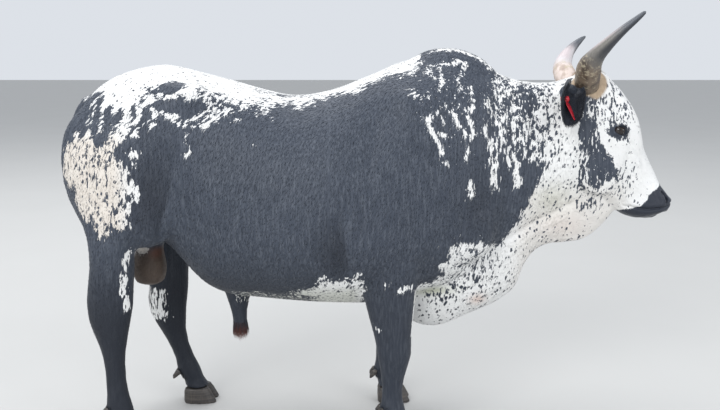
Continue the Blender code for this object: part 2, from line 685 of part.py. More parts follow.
def line_distance(flat, line):
    """Distance of flat points from a line of corners."""
    best = np.full(len(flat), 1e9)
    corners = np.array(line, dtype=float)
    for start, end in zip(corners[:-1], corners[1:]):
        along = end - start
        share = np.clip((flat - start) @ along / max(along @ along, 1e-12), 0.0, 1.0)
        near = start + share[:, None] * along
        best = np.minimum(best, np.linalg.norm(flat - near, axis=1))
    return best


def carve(item, table, frame):
    """Press side-on lines into the surface, or raise it along them."""
    rows = read_points(item.data)
    normals = read_normals(item.data)
    back = np.array(frame.inverted())
    local = rows @ back[:3, :3].T + back[:3, 3]
    facing = normals @ back[:3, :3].T
    shift = np.zeros(len(rows))
    for line, radius, height, side in table:
        flat = local[:, [0, 2]]
        fall = np.exp(-((line_distance(flat, line) / radius) ** 2))
        sideways = np.clip(np.abs(facing[:, 1]) * 1.6 - 0.2, 0.0, 1.0)
        if side:
            sideways = sideways * (local[:, 1] * side > 0.0)
        shift += height * fall * sideways
    write_points(item.data, rows + normals * shift[:, None])


def thin_out(item, region, target):
    """Reduce the triangles of one region, leaving the rest as it is."""
    work = bmesh.new()
    work.from_mesh(item.data)
    bmesh.ops.triangulate(work, faces=work.faces[:])
    work.to_mesh(item.data)
    work.free()
    rows = read_points(item.data)
    inside = region(rows)
    group = item.vertex_groups.new(name="reduce")
    group.add(np.nonzero(inside)[0].tolist(), 1.0, "REPLACE")
    corners = np.empty(len(item.data.polygons) * 3, dtype=np.int64)
    item.data.polygons.foreach_get("vertices", corners)
    touched = inside[corners.reshape(-1, 3)].all(axis=1).sum()
    total = len(item.data.polygons)
    fewer = item.modifiers.new("reduce", "DECIMATE")
    fewer.ratio = (total - touched + target) / total
    fewer.vertex_group = "reduce"
    fewer.vertex_group_factor = 1.0
    bake(item)
    item.vertex_groups.clear()


def offset_outline(outline, grow):
    """An outline in X and Z moved outwards by a small step."""
    count = len(outline)
    area = sum(
        outline[i][0] * outline[(i + 1) % count][1] - outline[(i + 1) % count][0] * outline[i][1]
        for i in range(count)
    )
    turn = 1.0 if area > 0.0 else -1.0
    moved = []
    for i in range(count):
        here = Vector(outline[i])
        before = (here - Vector(outline[i - 1])).normalized()
        after = (Vector(outline[(i + 1) % count]) - here).normalized()
        out_before = Vector((before.y, -before.x)) * turn
        out_after = Vector((after.y, -after.x)) * turn
        spread = (out_before + out_after).normalized()
        moved.append(here + spread * (grow / max(spread.dot(out_before), 0.2)))
    return moved


def block(name, outline, low_y, high_y, grow, group):
    """A cutting block: an outline in X and Z carried across Y."""
    corners = offset_outline(outline, grow)
    rings = [
        [Vector((corner.x, low_y - grow, corner.y)) for corner in corners],
        [Vector((corner.x, high_y + grow, corner.y)) for corner in corners],
    ]
    item = skin_rings(name, rings, group)
    item.hide_render = True
    item.display_type = "WIRE"
    return item


def copy_of(item, name, group):
    """A second object with its own mesh."""
    twin = bpy.data.objects.new(name, item.data.copy())
    group.objects.link(twin)
    return twin


def combine(item, other, operation):
    """Cut or join one closed body with another."""
    change = item.modifiers.new(operation.lower(), "BOOLEAN")
    change.operation = operation
    change.solver = "EXACT"
    change.object = other
    bake(item)


def keep_largest(item):
    """Keep only the largest closed surface of an object."""
    work = bmesh.new()
    work.from_mesh(item.data)
    bmesh.ops.remove_doubles(work, verts=work.verts[:], dist=0.00001)
    work.faces.ensure_lookup_table()
    unseen = set(work.faces)
    pieces = []
    while unseen:
        stack = [unseen.pop()]
        piece = list(stack)
        while stack:
            face = stack.pop()
            for edge in face.edges:
                for other in edge.link_faces:
                    if other in unseen:
                        unseen.discard(other)
                        stack.append(other)
                        piece.append(other)
        pieces.append(piece)
    pieces.sort(key=lambda piece: sum(face.calc_area() for face in piece))
    for piece in pieces[:-1]:
        bmesh.ops.delete(work, geom=piece, context="FACES")
    bmesh.ops.dissolve_degenerate(work, edges=work.edges[:], dist=0.00002)
    bmesh.ops.triangulate(work, faces=work.faces[:])
    bmesh.ops.recalc_face_normals(work, faces=work.faces[:])
    work.to_mesh(item.data)
    work.free()
    item.data.update()


def part_off(whole, name, outline, low_y, high_y, shapes, cutters):
    """Part one piece of the body from the rest by a thin cut."""
    piece = copy_of(whole, name, shapes)
    tight = block(name + "_block", outline, low_y, high_y, 0.0, cutters)
    wide = block(name + "_gap", outline, low_y, high_y, GAP, cutters)
    combine(piece, tight, "INTERSECT")
    combine(whole, wide, "DIFFERENCE")
    keep_largest(piece)
    keep_largest(whole)
    drop(tight)
    drop(wide)
    return piece


def grown(item, step, group):
    """A copy of a body, grown outwards by a small step."""
    twin = copy_of(item, item.name + "_grown", group)
    twin.data.update()
    rows = read_points(twin.data)
    write_points(twin.data, rows + read_normals(twin.data) * step)
    return twin


def trim_by(item, other, cutters, step=GAP * 1.6):
    """Cut an object back to just outside another body."""
    tool = grown(other, step, cutters)
    combine(item, tool, "DIFFERENCE")
    keep_largest(item)
    drop(tool)


def ear(name, side, shapes):
    """A leaf of gristle, rolled into a tube at its root and opened to a cup."""
    lengths, across = 10, 7
    front = []
    back = []
    for i in range(lengths):
        u = i / (lengths - 1)
        half = np.interp(u, EAR_SHARES, EAR_HALF_WIDTHS)
        curl = math.radians(np.interp(u, EAR_SHARES, EAR_CURLS))
        radius = half / math.sin(min(curl, math.pi / 2.0))
        sag = EAR_SAG * u * u
        for j in range(across):
            v = 2.0 * j / (across - 1) - 1.0
            rim = 1.0 - 0.55 * abs(v) ** 3
            thick = EAR_THICKNESS * rim * (1.0 - 0.45 * u)
            angle = curl * v
            for depth, layer in ((0.0, front), (thick, back)):
                reach = radius + depth
                wide = reach * math.sin(angle)
                deep = radius - reach * math.cos(angle)
                layer.append(Vector((u * EAR_LENGTH, wide, deep + sag)))
    points = front + back
    start = len(front)
    faces = []
    for i in range(lengths - 1):
        for j in range(across - 1):
            a = i * across + j
            faces.append([a, a + 1, a + across + 1, a + across])
            faces.append([start + a + across, start + a + across + 1, start + a + 1, start + a])
    rim_loop = [j for j in range(across)]
    rim_loop += [i * across + across - 1 for i in range(1, lengths)]
    rim_loop += [(lengths - 1) * across + j for j in range(across - 2, -1, -1)]
    rim_loop += [i * across for i in range(lengths - 2, 0, -1)]
    for here, after in zip(rim_loop, rim_loop[1:] + rim_loop[:1]):
        faces.append([after, here, start + here, start + after])
    item = mesh_object(name, points, faces, shapes)
    item.data.transform(ear_frame(side))
    return item


def ear_frame(side):
    """Where an ear sits: its length, its width and the way its cup opens."""
    root = Vector(EAR_ROOT)
    tip = Vector(EAR_TIP)
    along = (tip - root).normalized()
    opening = Vector(EAR_OPENING)
    opening = (opening - along * opening.dot(along)).normalized()
    wide = opening.cross(along)
    frame = Matrix((
        (along.x, wide.x, opening.x, root.x),
        (along.y, wide.y, opening.y, root.y),
        (along.z, wide.z, opening.z, root.z),
        (0.0, 0.0, 0.0, 1.0),
    ))
    if side > 0:
        mirror = Matrix.Diagonal((1.0, -1.0, 1.0, 1.0))
        return Matrix.Translation(LEFT_EAR_SHIFT) @ mirror @ frame
    return frame


def eye(name, side, shapes):
    """An eyeball with a clear bulge in front."""
    work = bmesh.new()
    bmesh.ops.create_uvsphere(work, u_segments=14, v_segments=9, radius=EYE_RADIUS)
    for point in work.verts:
        share = point.co.z / EYE_RADIUS
        bulge = max(0.0, share - 0.75) * 0.010
        point.co.z += bulge
    mesh = bpy.data.meshes.new(name)
    work.to_mesh(mesh)
    work.free()
    item = bpy.data.objects.new(name, mesh)
    shapes.objects.link(item)
    look = Vector((0.35, side, -0.08)).to_track_quat("Z", "Y").to_matrix().to_4x4()
    place = Matrix.Translation((EYE_X, EYE_SIDE * side, EYE_Z))
    mesh.transform(head_turn() @ place @ look)
    return item


def claw(name, place, inward, shapes):
    """One toe of a cloven hoof: upright wall, rounded toe and flat sole."""
    x, y = place
    rings = []
    for z, rear, front, width, rounding in CLAW_RINGS:
        ring = []
        for step in range(12):
            across, along = superellipse(2.0 * math.pi * step / 12, rounding)
            centre = 0.5 * (front + rear)
            reach = 0.5 * (front - rear)
            px = x + centre + reach * across
            lean = 1.0 - 0.35 * max(across, 0.0) ** 2
            side = 0.5 * width * (1.0 + along * (lean if along > 0.0 else 1.0))
            py = y - inward * (CLEFT * 0.5 + side)
            ring.append(Vector((px, py, z)))
        rings.append(ring)
    return skin_rings(name, rings, shapes)


def place_feet(shapes):
    """Two toes and two dewclaws for each foot."""
    feet = {
        "fore_right": (FORELEG, np.zeros(len(FORELEG)), -1),
        "fore_left": (FORELEG, LEFT_FORELEG_AHEAD, 1),
        "hind_right": (HIND_LEG, np.zeros(len(HIND_LEG)), -1),
        "hind_left": (LEFT_HIND_LEG, np.zeros(len(LEFT_HIND_LEG)), 1),
    }
    toes = {}
    for foot, (rows, ahead, side) in feet.items():
        x = rows[-2][0] + ahead[-2]
        y = rows[-2][1] * side
        for toe, inward in (("inner", side), ("outer", -side)):
            name = "claw_" + foot + "_" + toe
            toes[name] = claw(name, (x, y), inward, shapes)
            name = "dewclaw_" + foot + "_" + toe
            fetlock = rows[-4][0] + ahead[-4]
            line = [(fetlock + a, y - inward * b, c, r) for a, b, c, r in DEWCLAW]
            toes[name] = tube(name, line, shapes, resolution=2)
    return toes


def ear_place(u, v, depth):
    """A point on the inner face of the ear, with a depth in front of it."""
    half = np.interp(u, EAR_SHARES, EAR_HALF_WIDTHS)
    curl = math.radians(np.interp(u, EAR_SHARES, EAR_CURLS))
    radius = half / math.sin(min(curl, math.pi / 2.0))
    angle = curl * v
    reach = radius - depth
    return Vector((
        u * EAR_LENGTH,
        reach * math.sin(angle),
        radius - reach * math.cos(angle) + EAR_SAG * u * u,
    ))


def ear_tag(right_ear, shapes, cutters):
    """A button behind the ear, a pin through it and a plain flag hanging in front."""
    frame = ear_frame(-1)
    centre = frame @ ear_place(*TAG_PLACE, 0.0)
    out = (frame @ ear_place(*TAG_PLACE, 0.01) - centre).normalized()
    turn = out.to_track_quat("Z", "Y").to_matrix().to_4x4()
    rings = []
    back = -EAR_THICKNESS - TAG_SLACK
    front = TAG_SLACK
    for depth, radius in (
        (back - TAG_BUTTON_DEPTH, TAG_BUTTON_RADIUS - 0.001),
        (back - TAG_BUTTON_DEPTH + 0.001, TAG_BUTTON_RADIUS),
        (back, TAG_BUTTON_RADIUS),
        (back, TAG_PIN_RADIUS),
        (front, TAG_PIN_RADIUS),
        (front, TAG_BUTTON_RADIUS * 0.8),
        (front + TAG_BUTTON_DEPTH, TAG_BUTTON_RADIUS * 0.8),
    ):
        ring = []
        for step in range(16):
            angle = 2.0 * math.pi * step / 16
            ring.append(Vector((radius * math.cos(angle), radius * math.sin(angle), depth)))
        rings.append(ring)
    tag = skin_rings("ear_tag", rings, shapes)
    place = Matrix.Translation(centre) @ turn
    tag.data.transform(place)

    down = Vector((0.0, 0.0, -1.0))
    down = (down - out * down.dot(out)).normalized()
    hang = (down * math.cos(FLAG_LEAN) + out * math.sin(FLAG_LEAN)).normalized()
    beside = out.cross(hang).normalized()
    face = hang.cross(beside).normalized()
    half = 0.5 * FLAG_WIDTH
    outline = (
        (-0.010, -0.009), (-0.010, 0.009), (0.012, 0.012), (0.020, half), (0.024 + FLAG_HEIGHT, half),
        (0.024 + FLAG_HEIGHT, -half), (0.020, -half), (0.012, -0.012),
    )
    start = centre + out * (front + 0.0015)
    rings = []
    for layer in (-0.5, 0.5):
        lift = face * (layer * FLAG_DEPTH)
        rings.append([start + hang * along + beside * across + lift for along, across in outline])
    flag = skin_rings("flag_mass", rings, cutters)
    combine(tag, flag, "UNION")
    keep_largest(tag)
    drop(flag)
    trim_by(right_ear, tag, cutters)
    return tag


def switch_lock(index, rng, cutters):
    """One flat, tapered, bending lock of the tail's tuft."""
    share = (index + 0.5) / LOCK_COUNT
    around = index * 2.399963
    top = SWITCH_TOP - LOCK_DROP - 0.13 * share
    foot = SWITCH_FOOT + 0.10 * rng.random() + 0.04 * share
    out = Vector((math.cos(around), math.sin(around), 0.0))
    spread = 0.016 + 0.028 * rng.random()
    wave = 0.010 + 0.010 * rng.random()
    width = 0.014 + 0.006 * rng.random()
    rows = []
    steps = 6
    for step in range(steps):
        t = step / (steps - 1)
        z = top + (foot - top) * t
        core = tail_centre(z)
        reach = 0.004 + spread * math.sin(math.pi * min(t * 0.75, 0.62))
        reach *= 1.0 - 0.35 * t
        bend = wave * math.sin(3.0 * t + around) * t
        beside = Vector((-out.y, out.x, 0.0))
        centre = core + out * reach + beside * bend
        radius = width * (0.55 + 0.9 * math.sin(math.pi * min(t * 0.8 + 0.1, 1.0)) * (1.0 - 0.4 * t))
        radius = max(radius * (1.0 - t**3), 0.0012)
        rows.append((centre.x, centre.y, centre.z, radius))
    return flat_lock("lock", rows, cutters, 5, 0.42, around)


def tail_centre(z):
    """The middle line of the tail and its switch at a height."""
    rows = np.array(TAIL)[::-1]
    x = np.interp(z, rows[:, 2], rows[:, 0])
    y = np.interp(z, rows[:, 2], rows[:, 1])
    return Vector((float(x), float(y), z))


def tail_switch(core):
    """Overlapping locks joined over the short core at the tail's end."""
    rng = np.random.default_rng(7)
    locks = new_collection("switch_locks")
    for index in range(LOCK_COUNT):
        switch_lock(index, rng, locks)
    join = core.modifiers.new("union", "BOOLEAN")
    join.operation = "UNION"
    join.solver = "EXACT"
    join.operand_type = "COLLECTION"
    join.collection = locks
    bake(core)
    for item in list(locks.objects):
        drop(item)
    bpy.data.collections.remove(locks)
    keep_largest(core)


def material(name, roughness):
    """A plain surface in one of the named colours."""
    made = bpy.data.materials.new(name)
    made.use_nodes = True
    shader = made.node_tree.nodes["Principled BSDF"]
    shader.inputs["Base Color"].default_value = (*COLOURS[name], 1.0)
    shader.inputs["Roughness"].default_value = roughness
    made.diffuse_color = (*COLOURS[name], 1.0)
    return made


def finish(items):
    """Colour and shade every piece, then stand the bull over the origin."""
    made = {}
    for item in items:
        slot, roughness = surface_of(item.name)
        if slot not in made:
            made[slot] = material(slot, roughness)
        item.data.materials.clear()
        item.data.materials.append(made[slot])
        item.data.polygons.foreach_set("use_smooth", [True] * len(item.data.polygons))
        item.data.set_sharp_from_angle(angle=math.radians(42.0))
    rows = np.vstack([read_points(item.data) for item in items])
    low, high = rows.min(axis=0), rows.max(axis=0)
    shift = Vector((-(low[0] + high[0]) / 2.0, -(low[1] + high[1]) / 2.0, -low[2]))
    for item in items:
        item.data.transform(Matrix.Translation(shift))
    print("shift", tuple(round(value, 4) for value in shift), "size", (high - low).round(4))


def surface_of(name):
    """The colour and roughness of a piece."""
    starts = {
        "claw": ("hoof", 0.5),
        "dewclaw": ("hoof", 0.5),
        "horn": ("horn", 0.45),
        "eye": ("eye", 0.1),
        "scrotum": ("scrotum", 0.6),
        "ear_tag": ("tag", 0.4),
        "head": ("white_coat", 0.6),
        "neck": ("white_coat", 0.6),
        "dewlap": ("white_coat", 0.6),
    }
    for start in sorted(starts, key=len, reverse=True):
        if name.startswith(start):
            return starts[start]
    return "black_coat", 0.5


def build():
    """Make the whole bull."""
    clear_scene()
    shapes = new_collection("nguni_bull")
    cutters = new_collection("cutters")
    body = fuse(flesh_masses(cutters), "torso", shapes)
    soften(body)
    carve(body, BODY_RELIEF, Matrix.Identity(4))
    carve(body, HEAD_RELIEF, head_turn())
    thin_out(body, lambda rows: rows[:, 0] < HEAD_START, TRUNK_TRIANGLES)
    thin_out(body, lambda rows: rows[:, 0] > HEAD_START - HEAD_OVERLAP, HEAD_TRIANGLES)
    keep_largest(body)

    head = part_off(body, "head", HEAD_SEAM, -BEYOND_SIDE, BEYOND_SIDE, shapes, cutters)
    items = []
    for name, (seam, low_y, high_y) in SEAMS.items():
        items.append(part_off(body, name, seam, low_y, high_y, shapes, cutters))
    neck = part_off(body, "neck", NECK_SEAM, -BEYOND_SIDE, BEYOND_SIDE, shapes, cutters)
    items.extend((neck, body, head))
    for name, side in (("eye_right", -1), ("eye_left", 1)):
        ball_of_eye = eye(name, side, shapes)
        trim_by(head, ball_of_eye, cutters, step=GAP)
        items.append(ball_of_eye)
    horns = {}
    for name, rows, side in (("horn_right", RIGHT_HORN, -1), ("horn_left", LEFT_HORN, 1)):
        piece = tube(name, smooth_rows(rows, 2), shapes)
        trim_by(piece, head, cutters)
        trim_by(piece, neck, cutters)
        horns[side] = piece
        items.append(piece)
    for name, side in (("ear_right", -1), ("ear_left", 1)):
        piece = ear(name, side, shapes)
        trim_by(piece, head, cutters)
        trim_by(piece, neck, cutters)
        trim_by(piece, horns[side], cutters)
        if side < 0:
            items.append(ear_tag(piece, shapes, cutters))
        items.append(piece)
    tail = tube("tail", smooth_rows(TAIL, 2), shapes)
    trim_by(tail, body, cutters)
    switch = part_off(tail, "tail_switch", SWITCH_SEAM, -BEYOND_SIDE, BEYOND_SIDE, shapes, cutters)
    tail_switch(switch)
    items.extend((tail, switch))
    toes = place_feet(shapes)
    by_leg = {item.name: item for item in items if "leg_" in item.name}
    for name, toe in toes.items():
        if name.startswith("dewclaw"):
            end, side = name.split("_")[1:3]
            trim_by(toe, by_leg[end + "leg_" + side], cutters)
        items.append(toe)
    finish(items)
    bpy.data.collections.remove(cutters)


build()
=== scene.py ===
"""A standing Nguni bull: skin, coat and markings, eyes, horns, hooves, ear tag and tail switch."""

import json
import math

import bmesh
import bpy
import numpy as np
from mathutils import Matrix, Vector

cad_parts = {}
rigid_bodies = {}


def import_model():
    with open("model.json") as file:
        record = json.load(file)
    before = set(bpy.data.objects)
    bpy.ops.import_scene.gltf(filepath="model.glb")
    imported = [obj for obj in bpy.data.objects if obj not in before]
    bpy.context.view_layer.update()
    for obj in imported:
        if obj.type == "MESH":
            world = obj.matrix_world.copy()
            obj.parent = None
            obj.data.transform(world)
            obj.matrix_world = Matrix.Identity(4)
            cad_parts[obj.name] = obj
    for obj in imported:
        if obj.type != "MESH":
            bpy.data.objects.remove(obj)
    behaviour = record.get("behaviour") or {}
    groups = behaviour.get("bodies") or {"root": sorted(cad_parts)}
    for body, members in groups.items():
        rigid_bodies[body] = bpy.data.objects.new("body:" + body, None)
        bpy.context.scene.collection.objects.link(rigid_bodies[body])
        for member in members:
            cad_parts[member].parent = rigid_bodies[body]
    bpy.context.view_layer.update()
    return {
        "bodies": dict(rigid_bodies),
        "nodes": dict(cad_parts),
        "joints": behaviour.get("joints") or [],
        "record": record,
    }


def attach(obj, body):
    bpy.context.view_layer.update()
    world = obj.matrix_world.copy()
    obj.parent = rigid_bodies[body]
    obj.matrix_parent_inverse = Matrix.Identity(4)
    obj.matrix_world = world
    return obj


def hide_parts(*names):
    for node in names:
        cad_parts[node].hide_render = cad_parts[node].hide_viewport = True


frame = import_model()
NODES = frame["nodes"]
RNG = np.random.default_rng(11)

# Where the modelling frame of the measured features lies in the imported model
SHIFT = np.array((-0.0424, 0.0002, 0.0))
HEAD_PIVOT = Vector((0.76, 0.0, 1.22))
HEAD_YAW = math.radians(9.0)
HEAD_ROLL = math.radians(5.0)
EYE = (0.901, 0.0975, 1.113)
NOSTRIL = (1.100, 0.055, 0.868)
EYE_RADIUS = 0.0210
SCENE_MIDDLE = (0.0, 0.0, 0.7)

FLESH = (
    "torso", "hump", "neck", "dewlap", "head", "foreleg_left", "foreleg_right",
    "hindleg_left", "hindleg_right", "scrotum", "sheath", "tail",
)
VOXEL = 0.0076
SEAM_CLOSING = 0.0006
HEAD_ZOOM = 2.4
HEAD_ZOOM_RADIUS = 0.30
HEAD_MIDDLE = (0.945, 0.0, 1.065)
SMOOTHING = (0.5, -0.52)

# Outlines of the white areas on the right side: x, y, z in millimetres
WHITE_AREAS = {
    "back_white": (
        (-993, -12, 1243), (-884, -127, 1261), (-881, -160, 1225), (-863, -185, 1203),
        (-852, -179, 1219), (-834, -208, 1181), (-804, -198, 1217), (-793, -219, 1175),
        (-826, -225, 1148), (-848, -242, 1093), (-872, -248, 1050), (-858, -253, 1023),
        (-831, -248, 1063), (-811, -243, 1090), (-785, -238, 1106), (-775, -230, 1139),
        (-744, -228, 1169), (-728, -219, 1208), (-705, -214, 1221), (-679, -206, 1241),
        (-645, -210, 1244), (-610, -216, 1235), (-570, -217, 1231), (-540, -211, 1241),
        (-518, -206, 1221), (-529, -211, 1181), (-552, -216, 1164), (-526, -224, 1135),
        (-489, -214, 1161), (-463, -200, 1187), (-428, -185, 1203), (-404, -157, 1225),
        (-385, -172, 1209), (-360, -155, 1218), (-338, -135, 1227), (-343, -185, 1189),
        (-308, -159, 1205), (-295, -124, 1223), (-273, -135, 1214), (-238, -102, 1226),
        (-210, -142, 1207), (-184, -121, 1220), (-163, -133, 1217), (-154, -93, 1236),
        (-125, -123, 1230), (-105, -96, 1246), (-52, -109, 1257), (-10, -136, 1258), (21, -109, 1285),
        (45, -118, 1288), (90, -98, 1315), (148, -121, 1319), (190, -118, 1326), (214, -61, 1360),
        (220, -20, 1460), (-1020, -20, 1460), (-1020, -20, 1260),
    ),
    "patch_white": (
        (-968, -179, 1117), (-952, -202, 1092), (-922, -194, 1142), (-902, -228, 1102),
        (-879, -242, 1069), (-861, -253, 1023), (-830, -253, 1037), (-808, -253, 1027),
        (-792, -254, 996), (-783, -253, 976), (-791, -254, 959), (-748, -245, 953), (-743, -244, 913),
        (-778, -252, 880), (-789, -255, 843), (-800, -254, 801), (-847, -259, 816), (-870, -258, 771),
        (-896, -253, 773), (-902, -249, 811), (-937, -230, 828), (-963, -219, 867), (-977, -214, 936),
        (-1005, -170, 945), (-1035, -130, 980), (-1016, -162, 1061),
    ),
    "belly_white": (
        (-445, -95, 522), (-371, -187, 564), (-302, -175, 542), (-208, -233, 573), (-144, -266, 601),
        (-122, -299, 648), (-96, -277, 614), (-51, -284, 630), (-28, -246, 584), (-7, -289, 653),
        (17, -238, 582), (3, -140, 509), (20, -50, 400), (-460, -50, 400),
    ),
    "brisket_white": (
        (192, -218, 577), (208, -180, 580), (254, -162, 586), (300, -175, 623), (271, -210, 661),
        (317, -201, 673), (307, -224, 714), (341, -228, 743), (423, -210, 739), (493, -107, 705),
        (514, -104, 722), (539, -118, 769), (581, -116, 814), (593, -125, 861), (620, -125, 911),
        (653, -127, 990), (696, -117, 1108), (686, -98, 1194), (664, -63, 1256), (570, -20, 1310),
        (800, -20, 1400), (980, -20, 1100), (980, -20, 600), (800, -20, 450), (340, -20, 330),
        (180, -20, 400),
    ),
    "neck_top_white": (
        (516, -10, 1311), (537, -56, 1283), (570, -33, 1290), (638, -52, 1269), (700, -23, 1290),
        (800, -20, 1400), (520, -20, 1360),
    ),
}
# Thin white lines: width, then the points, in millimetres
WHITE_LINES = {
    "finger_1": (10, (-883, -131, 1258), (-911, -135, 1234), (-933, -148, 1201), (-932, -173, 1161)),
    "finger_2": (8, (-874, -159, 1232), (-875, -192, 1183), (-875, -224, 1131)),
    "finger_3": (6, (-907, -149, 1221), (-914, -165, 1192), (-914, -192, 1153)),
    "dot_line": (12, (-704, -217, 1215), (-683, -227, 1189), (-700, -234, 1149)),
    "island_gap": (16, (-660, -225, 1188), (-621, -223, 1178), (-585, -217, 1181)),
    "low_gap": (12, (-604, -225, 1155), (-572, -217, 1168), (-546, -214, 1171)),
    "hump_net_a": (6, (244, -89, 1346), (272, -77, 1357), (304, -80, 1353), (335, -76, 1357)),
    "hump_net_b": (
        7, (244, -89, 1346), (235, -124, 1323), (257, -138, 1309), (284, -144, 1299), (272, -171, 1270),
        (225, -207, 1248),
    ),
    "hump_net_c": (6, (271, -89, 1346), (279, -123, 1319), (291, -148, 1293)),
    "hump_dash": (7, (174, -207, 1262), (197, -221, 1243)),
    "hump_fork": (
        7, (333, -67, 1369), (375, -68, 1357), (354, -99, 1322), (337, -131, 1299), (349, -149, 1272),
    ),
    "net_left": (
        10, (260, -227, 1187), (233, -242, 1176), (233, -249, 1150), (259, -250, 1100),
        (274, -252, 1064), (291, -255, 1024),
    ),
    "net_small": (10, (275, -222, 1175), (282, -224, 1158)),
    "net_dot": (10, (274, -239, 1123), (298, -236, 1110)),
    "net_stub": (7, (285, -196, 1224), (304, -201, 1197)),
    "net_right": (
        11, (379, -133, 1279), (386, -165, 1232), (381, -182, 1203), (359, -190, 1200),
        (369, -198, 1173), (386, -210, 1120), (368, -223, 1091), (357, -236, 1038),
    ),
    "net_join": (9, (317, -205, 1185), (344, -216, 1144), (357, -222, 1108)),
    "streak_a": (
        20, (434, -176, 1156), (429, -190, 1115), (455, -179, 1097), (450, -187, 1063),
        (459, -192, 1009), (469, -190, 936),
    ),
    "streak_b": (18, (498, -137, 1169), (484, -164, 1104), (497, -165, 1061), (520, -157, 1025)),
    "streak_c": (10, (441, -140, 1228), (440, -151, 1208)),
    "streak_d": (10, (486, -107, 1239), (485, -118, 1216)),
    "streak_e": (8, (495, -53, 1301), (503, -96, 1250)),
    "streak_f": (8, (536, -38, 1297), (528, -91, 1246)),
    "streak_g": (10, (538, -104, 1216), (529, -119, 1182), (540, -143, 1093)),
    "streak_h": (18, (541, -153, 1032), (546, -155, 983), (551, -153, 941)),
    "streak_i": (10, (571, -120, 1161), (563, -138, 1100), (578, -139, 1058)),
}


# Helpers
def head_turn():
    """The head's turn and tilt about the top of the neck."""
    there = Matrix.Translation(HEAD_PIVOT)
    turned = Matrix.Rotation(HEAD_YAW, 4, "Z") @ Matrix.Rotation(-HEAD_ROLL, 4, "X")
    return Matrix.Translation(Vector(SHIFT)) @ there @ turned @ there.inverted()


HEAD_TURN = head_turn()
TURN = np.array(HEAD_TURN)
UNTURN = np.array(HEAD_TURN.inverted())


def moved(points, table):
    """Points carried by a 4 by 4 table."""
    return points @ table[:3, :3].T + table[:3, 3]


def to_head(points):
    """Model points in the head's own upright frame."""
    return moved(points, UNTURN)


def from_head(points):
    """Places in the head's own frame, in the model."""
    return moved(np.asarray(points, float), TURN)


def ease(values, low, high):
    """0 below low, 1 above high, smooth between."""
    t = np.clip((values - low) / (high - low), 0.0, 1.0)
    return t * t * (3.0 - 2.0 * t)


def unit(rows):
    return rows / np.maximum(np.linalg.norm(rows, axis=-1, keepdims=True), 1e-12)


def lerp(a, b, share):
    """From a where the share is 0 to b where it is 1."""
    return a * (1.0 - share) + b * share


def highest(start, *zones):
    """The greatest of a start value and each amount times its zone."""
    for amount, zone in zones:
        start = np.maximum(start, amount * zone)
    return start


def stretched(values):
    """Values moved and scaled to run from 0 to 1."""
    return (values - values.min()) / max(np.ptp(values), 1e-6)


def along_skin(way, normals):
    """Directions pressed flat onto the skin."""
    return unit(way - normals * np.sum(way * normals, axis=1)[:, None])


def tube_faces(rings, sides):
    """Triangles round a stack of rings, closed by a last point for each end."""
    ring = np.arange(sides)
    after = (ring + 1) % sides
    step = np.arange(rings - 1)[:, None] * sides
    a, b = step + ring, step + after
    top, end = (rings - 1) * sides, rings * sides
    return np.vstack([
        np.stack([a, a + sides, b + sides], 2).reshape(-1, 3), np.stack([a, b + sides, b], 2).reshape(-1, 3),
        np.stack([np.full(sides, end), ring, after], 1),
        np.stack([np.full(sides, end + 1), top + after, top + ring], 1),
    ])


# Six points along each of the shorter hairs
HAIR_STEPS = np.linspace(0.0, 1.0, 6)[None, :, None]


def hair_paths(base, fling, size):
    """Straight hairs, to be bent."""
    return base[:, None] + fling[:, None] * size[:, None, None] * HAIR_STEPS


def new_mesh(name, points, faces):
    """A mesh object from arrays; faces all have the same number of corners."""
    mesh = bpy.data.meshes.new(name)
    points = np.ascontiguousarray(points, np.float32)
    faces = np.ascontiguousarray(faces, np.int32)
    mesh.vertices.add(len(points))
    mesh.vertices.foreach_set("co", points.ravel())
    mesh.loops.add(faces.size)
    mesh.loops.foreach_set("vertex_index", faces.ravel())
    mesh.polygons.add(len(faces))
    mesh.polygons.foreach_set("loop_start", np.arange(0, faces.size, faces.shape[1], dtype=np.int32))
    mesh.polygons.foreach_set("use_smooth", np.ones(len(faces), bool))
    mesh.update(calc_edges=True)
    mesh.validate()
    item = bpy.data.objects.new(name, mesh)
    bpy.context.scene.collection.objects.link(item)
    return item


def read(rows, key, width, kind=np.float32):
    """One value of each row of a mesh, in a table of the given width."""
    flat = np.empty(len(rows) * width, kind)
    rows.foreach_get(key, flat)
    return flat.reshape(-1, width)


def points_of(mesh):
    return read(mesh.vertices, "co", 3).astype(float)


def put_points(mesh, points):
    mesh.vertices.foreach_set("co", np.ascontiguousarray(points, np.float32).ravel())
    mesh.update()


def normals_of(mesh):
    return read(mesh.vertex_normals, "vector", 3).astype(float)


def edges_of(mesh):
    return read(mesh.edges, "vertices", 2, np.int32)


def triangles_of(mesh):
    mesh.calc_loop_triangles()
    return read(mesh.loop_triangles, "vertices", 3, np.int32)


def drop(item):
    mesh = item.data
    bpy.data.objects.remove(item)
    bpy.data.meshes.remove(mesh)


def relax(points, edges, weights, rounds):
    """Smooths without shrinking, by a step to the neighbours' middle and one back."""
    count = len(points)
    a, b = edges[:, 0], edges[:, 1]
    degree = np.bincount(a, minlength=count) + np.bincount(b, minlength=count)
    degree = np.maximum(degree, 1)
    points = points.copy()
    for _ in range(rounds):
        for step in SMOOTHING:
            for k in range(3):
                column = points[:, k]
                near = np.bincount(a, column[b], count) + np.bincount(b, column[a], count)
                points[:, k] = column + (near / degree - column) * step * weights
    return points


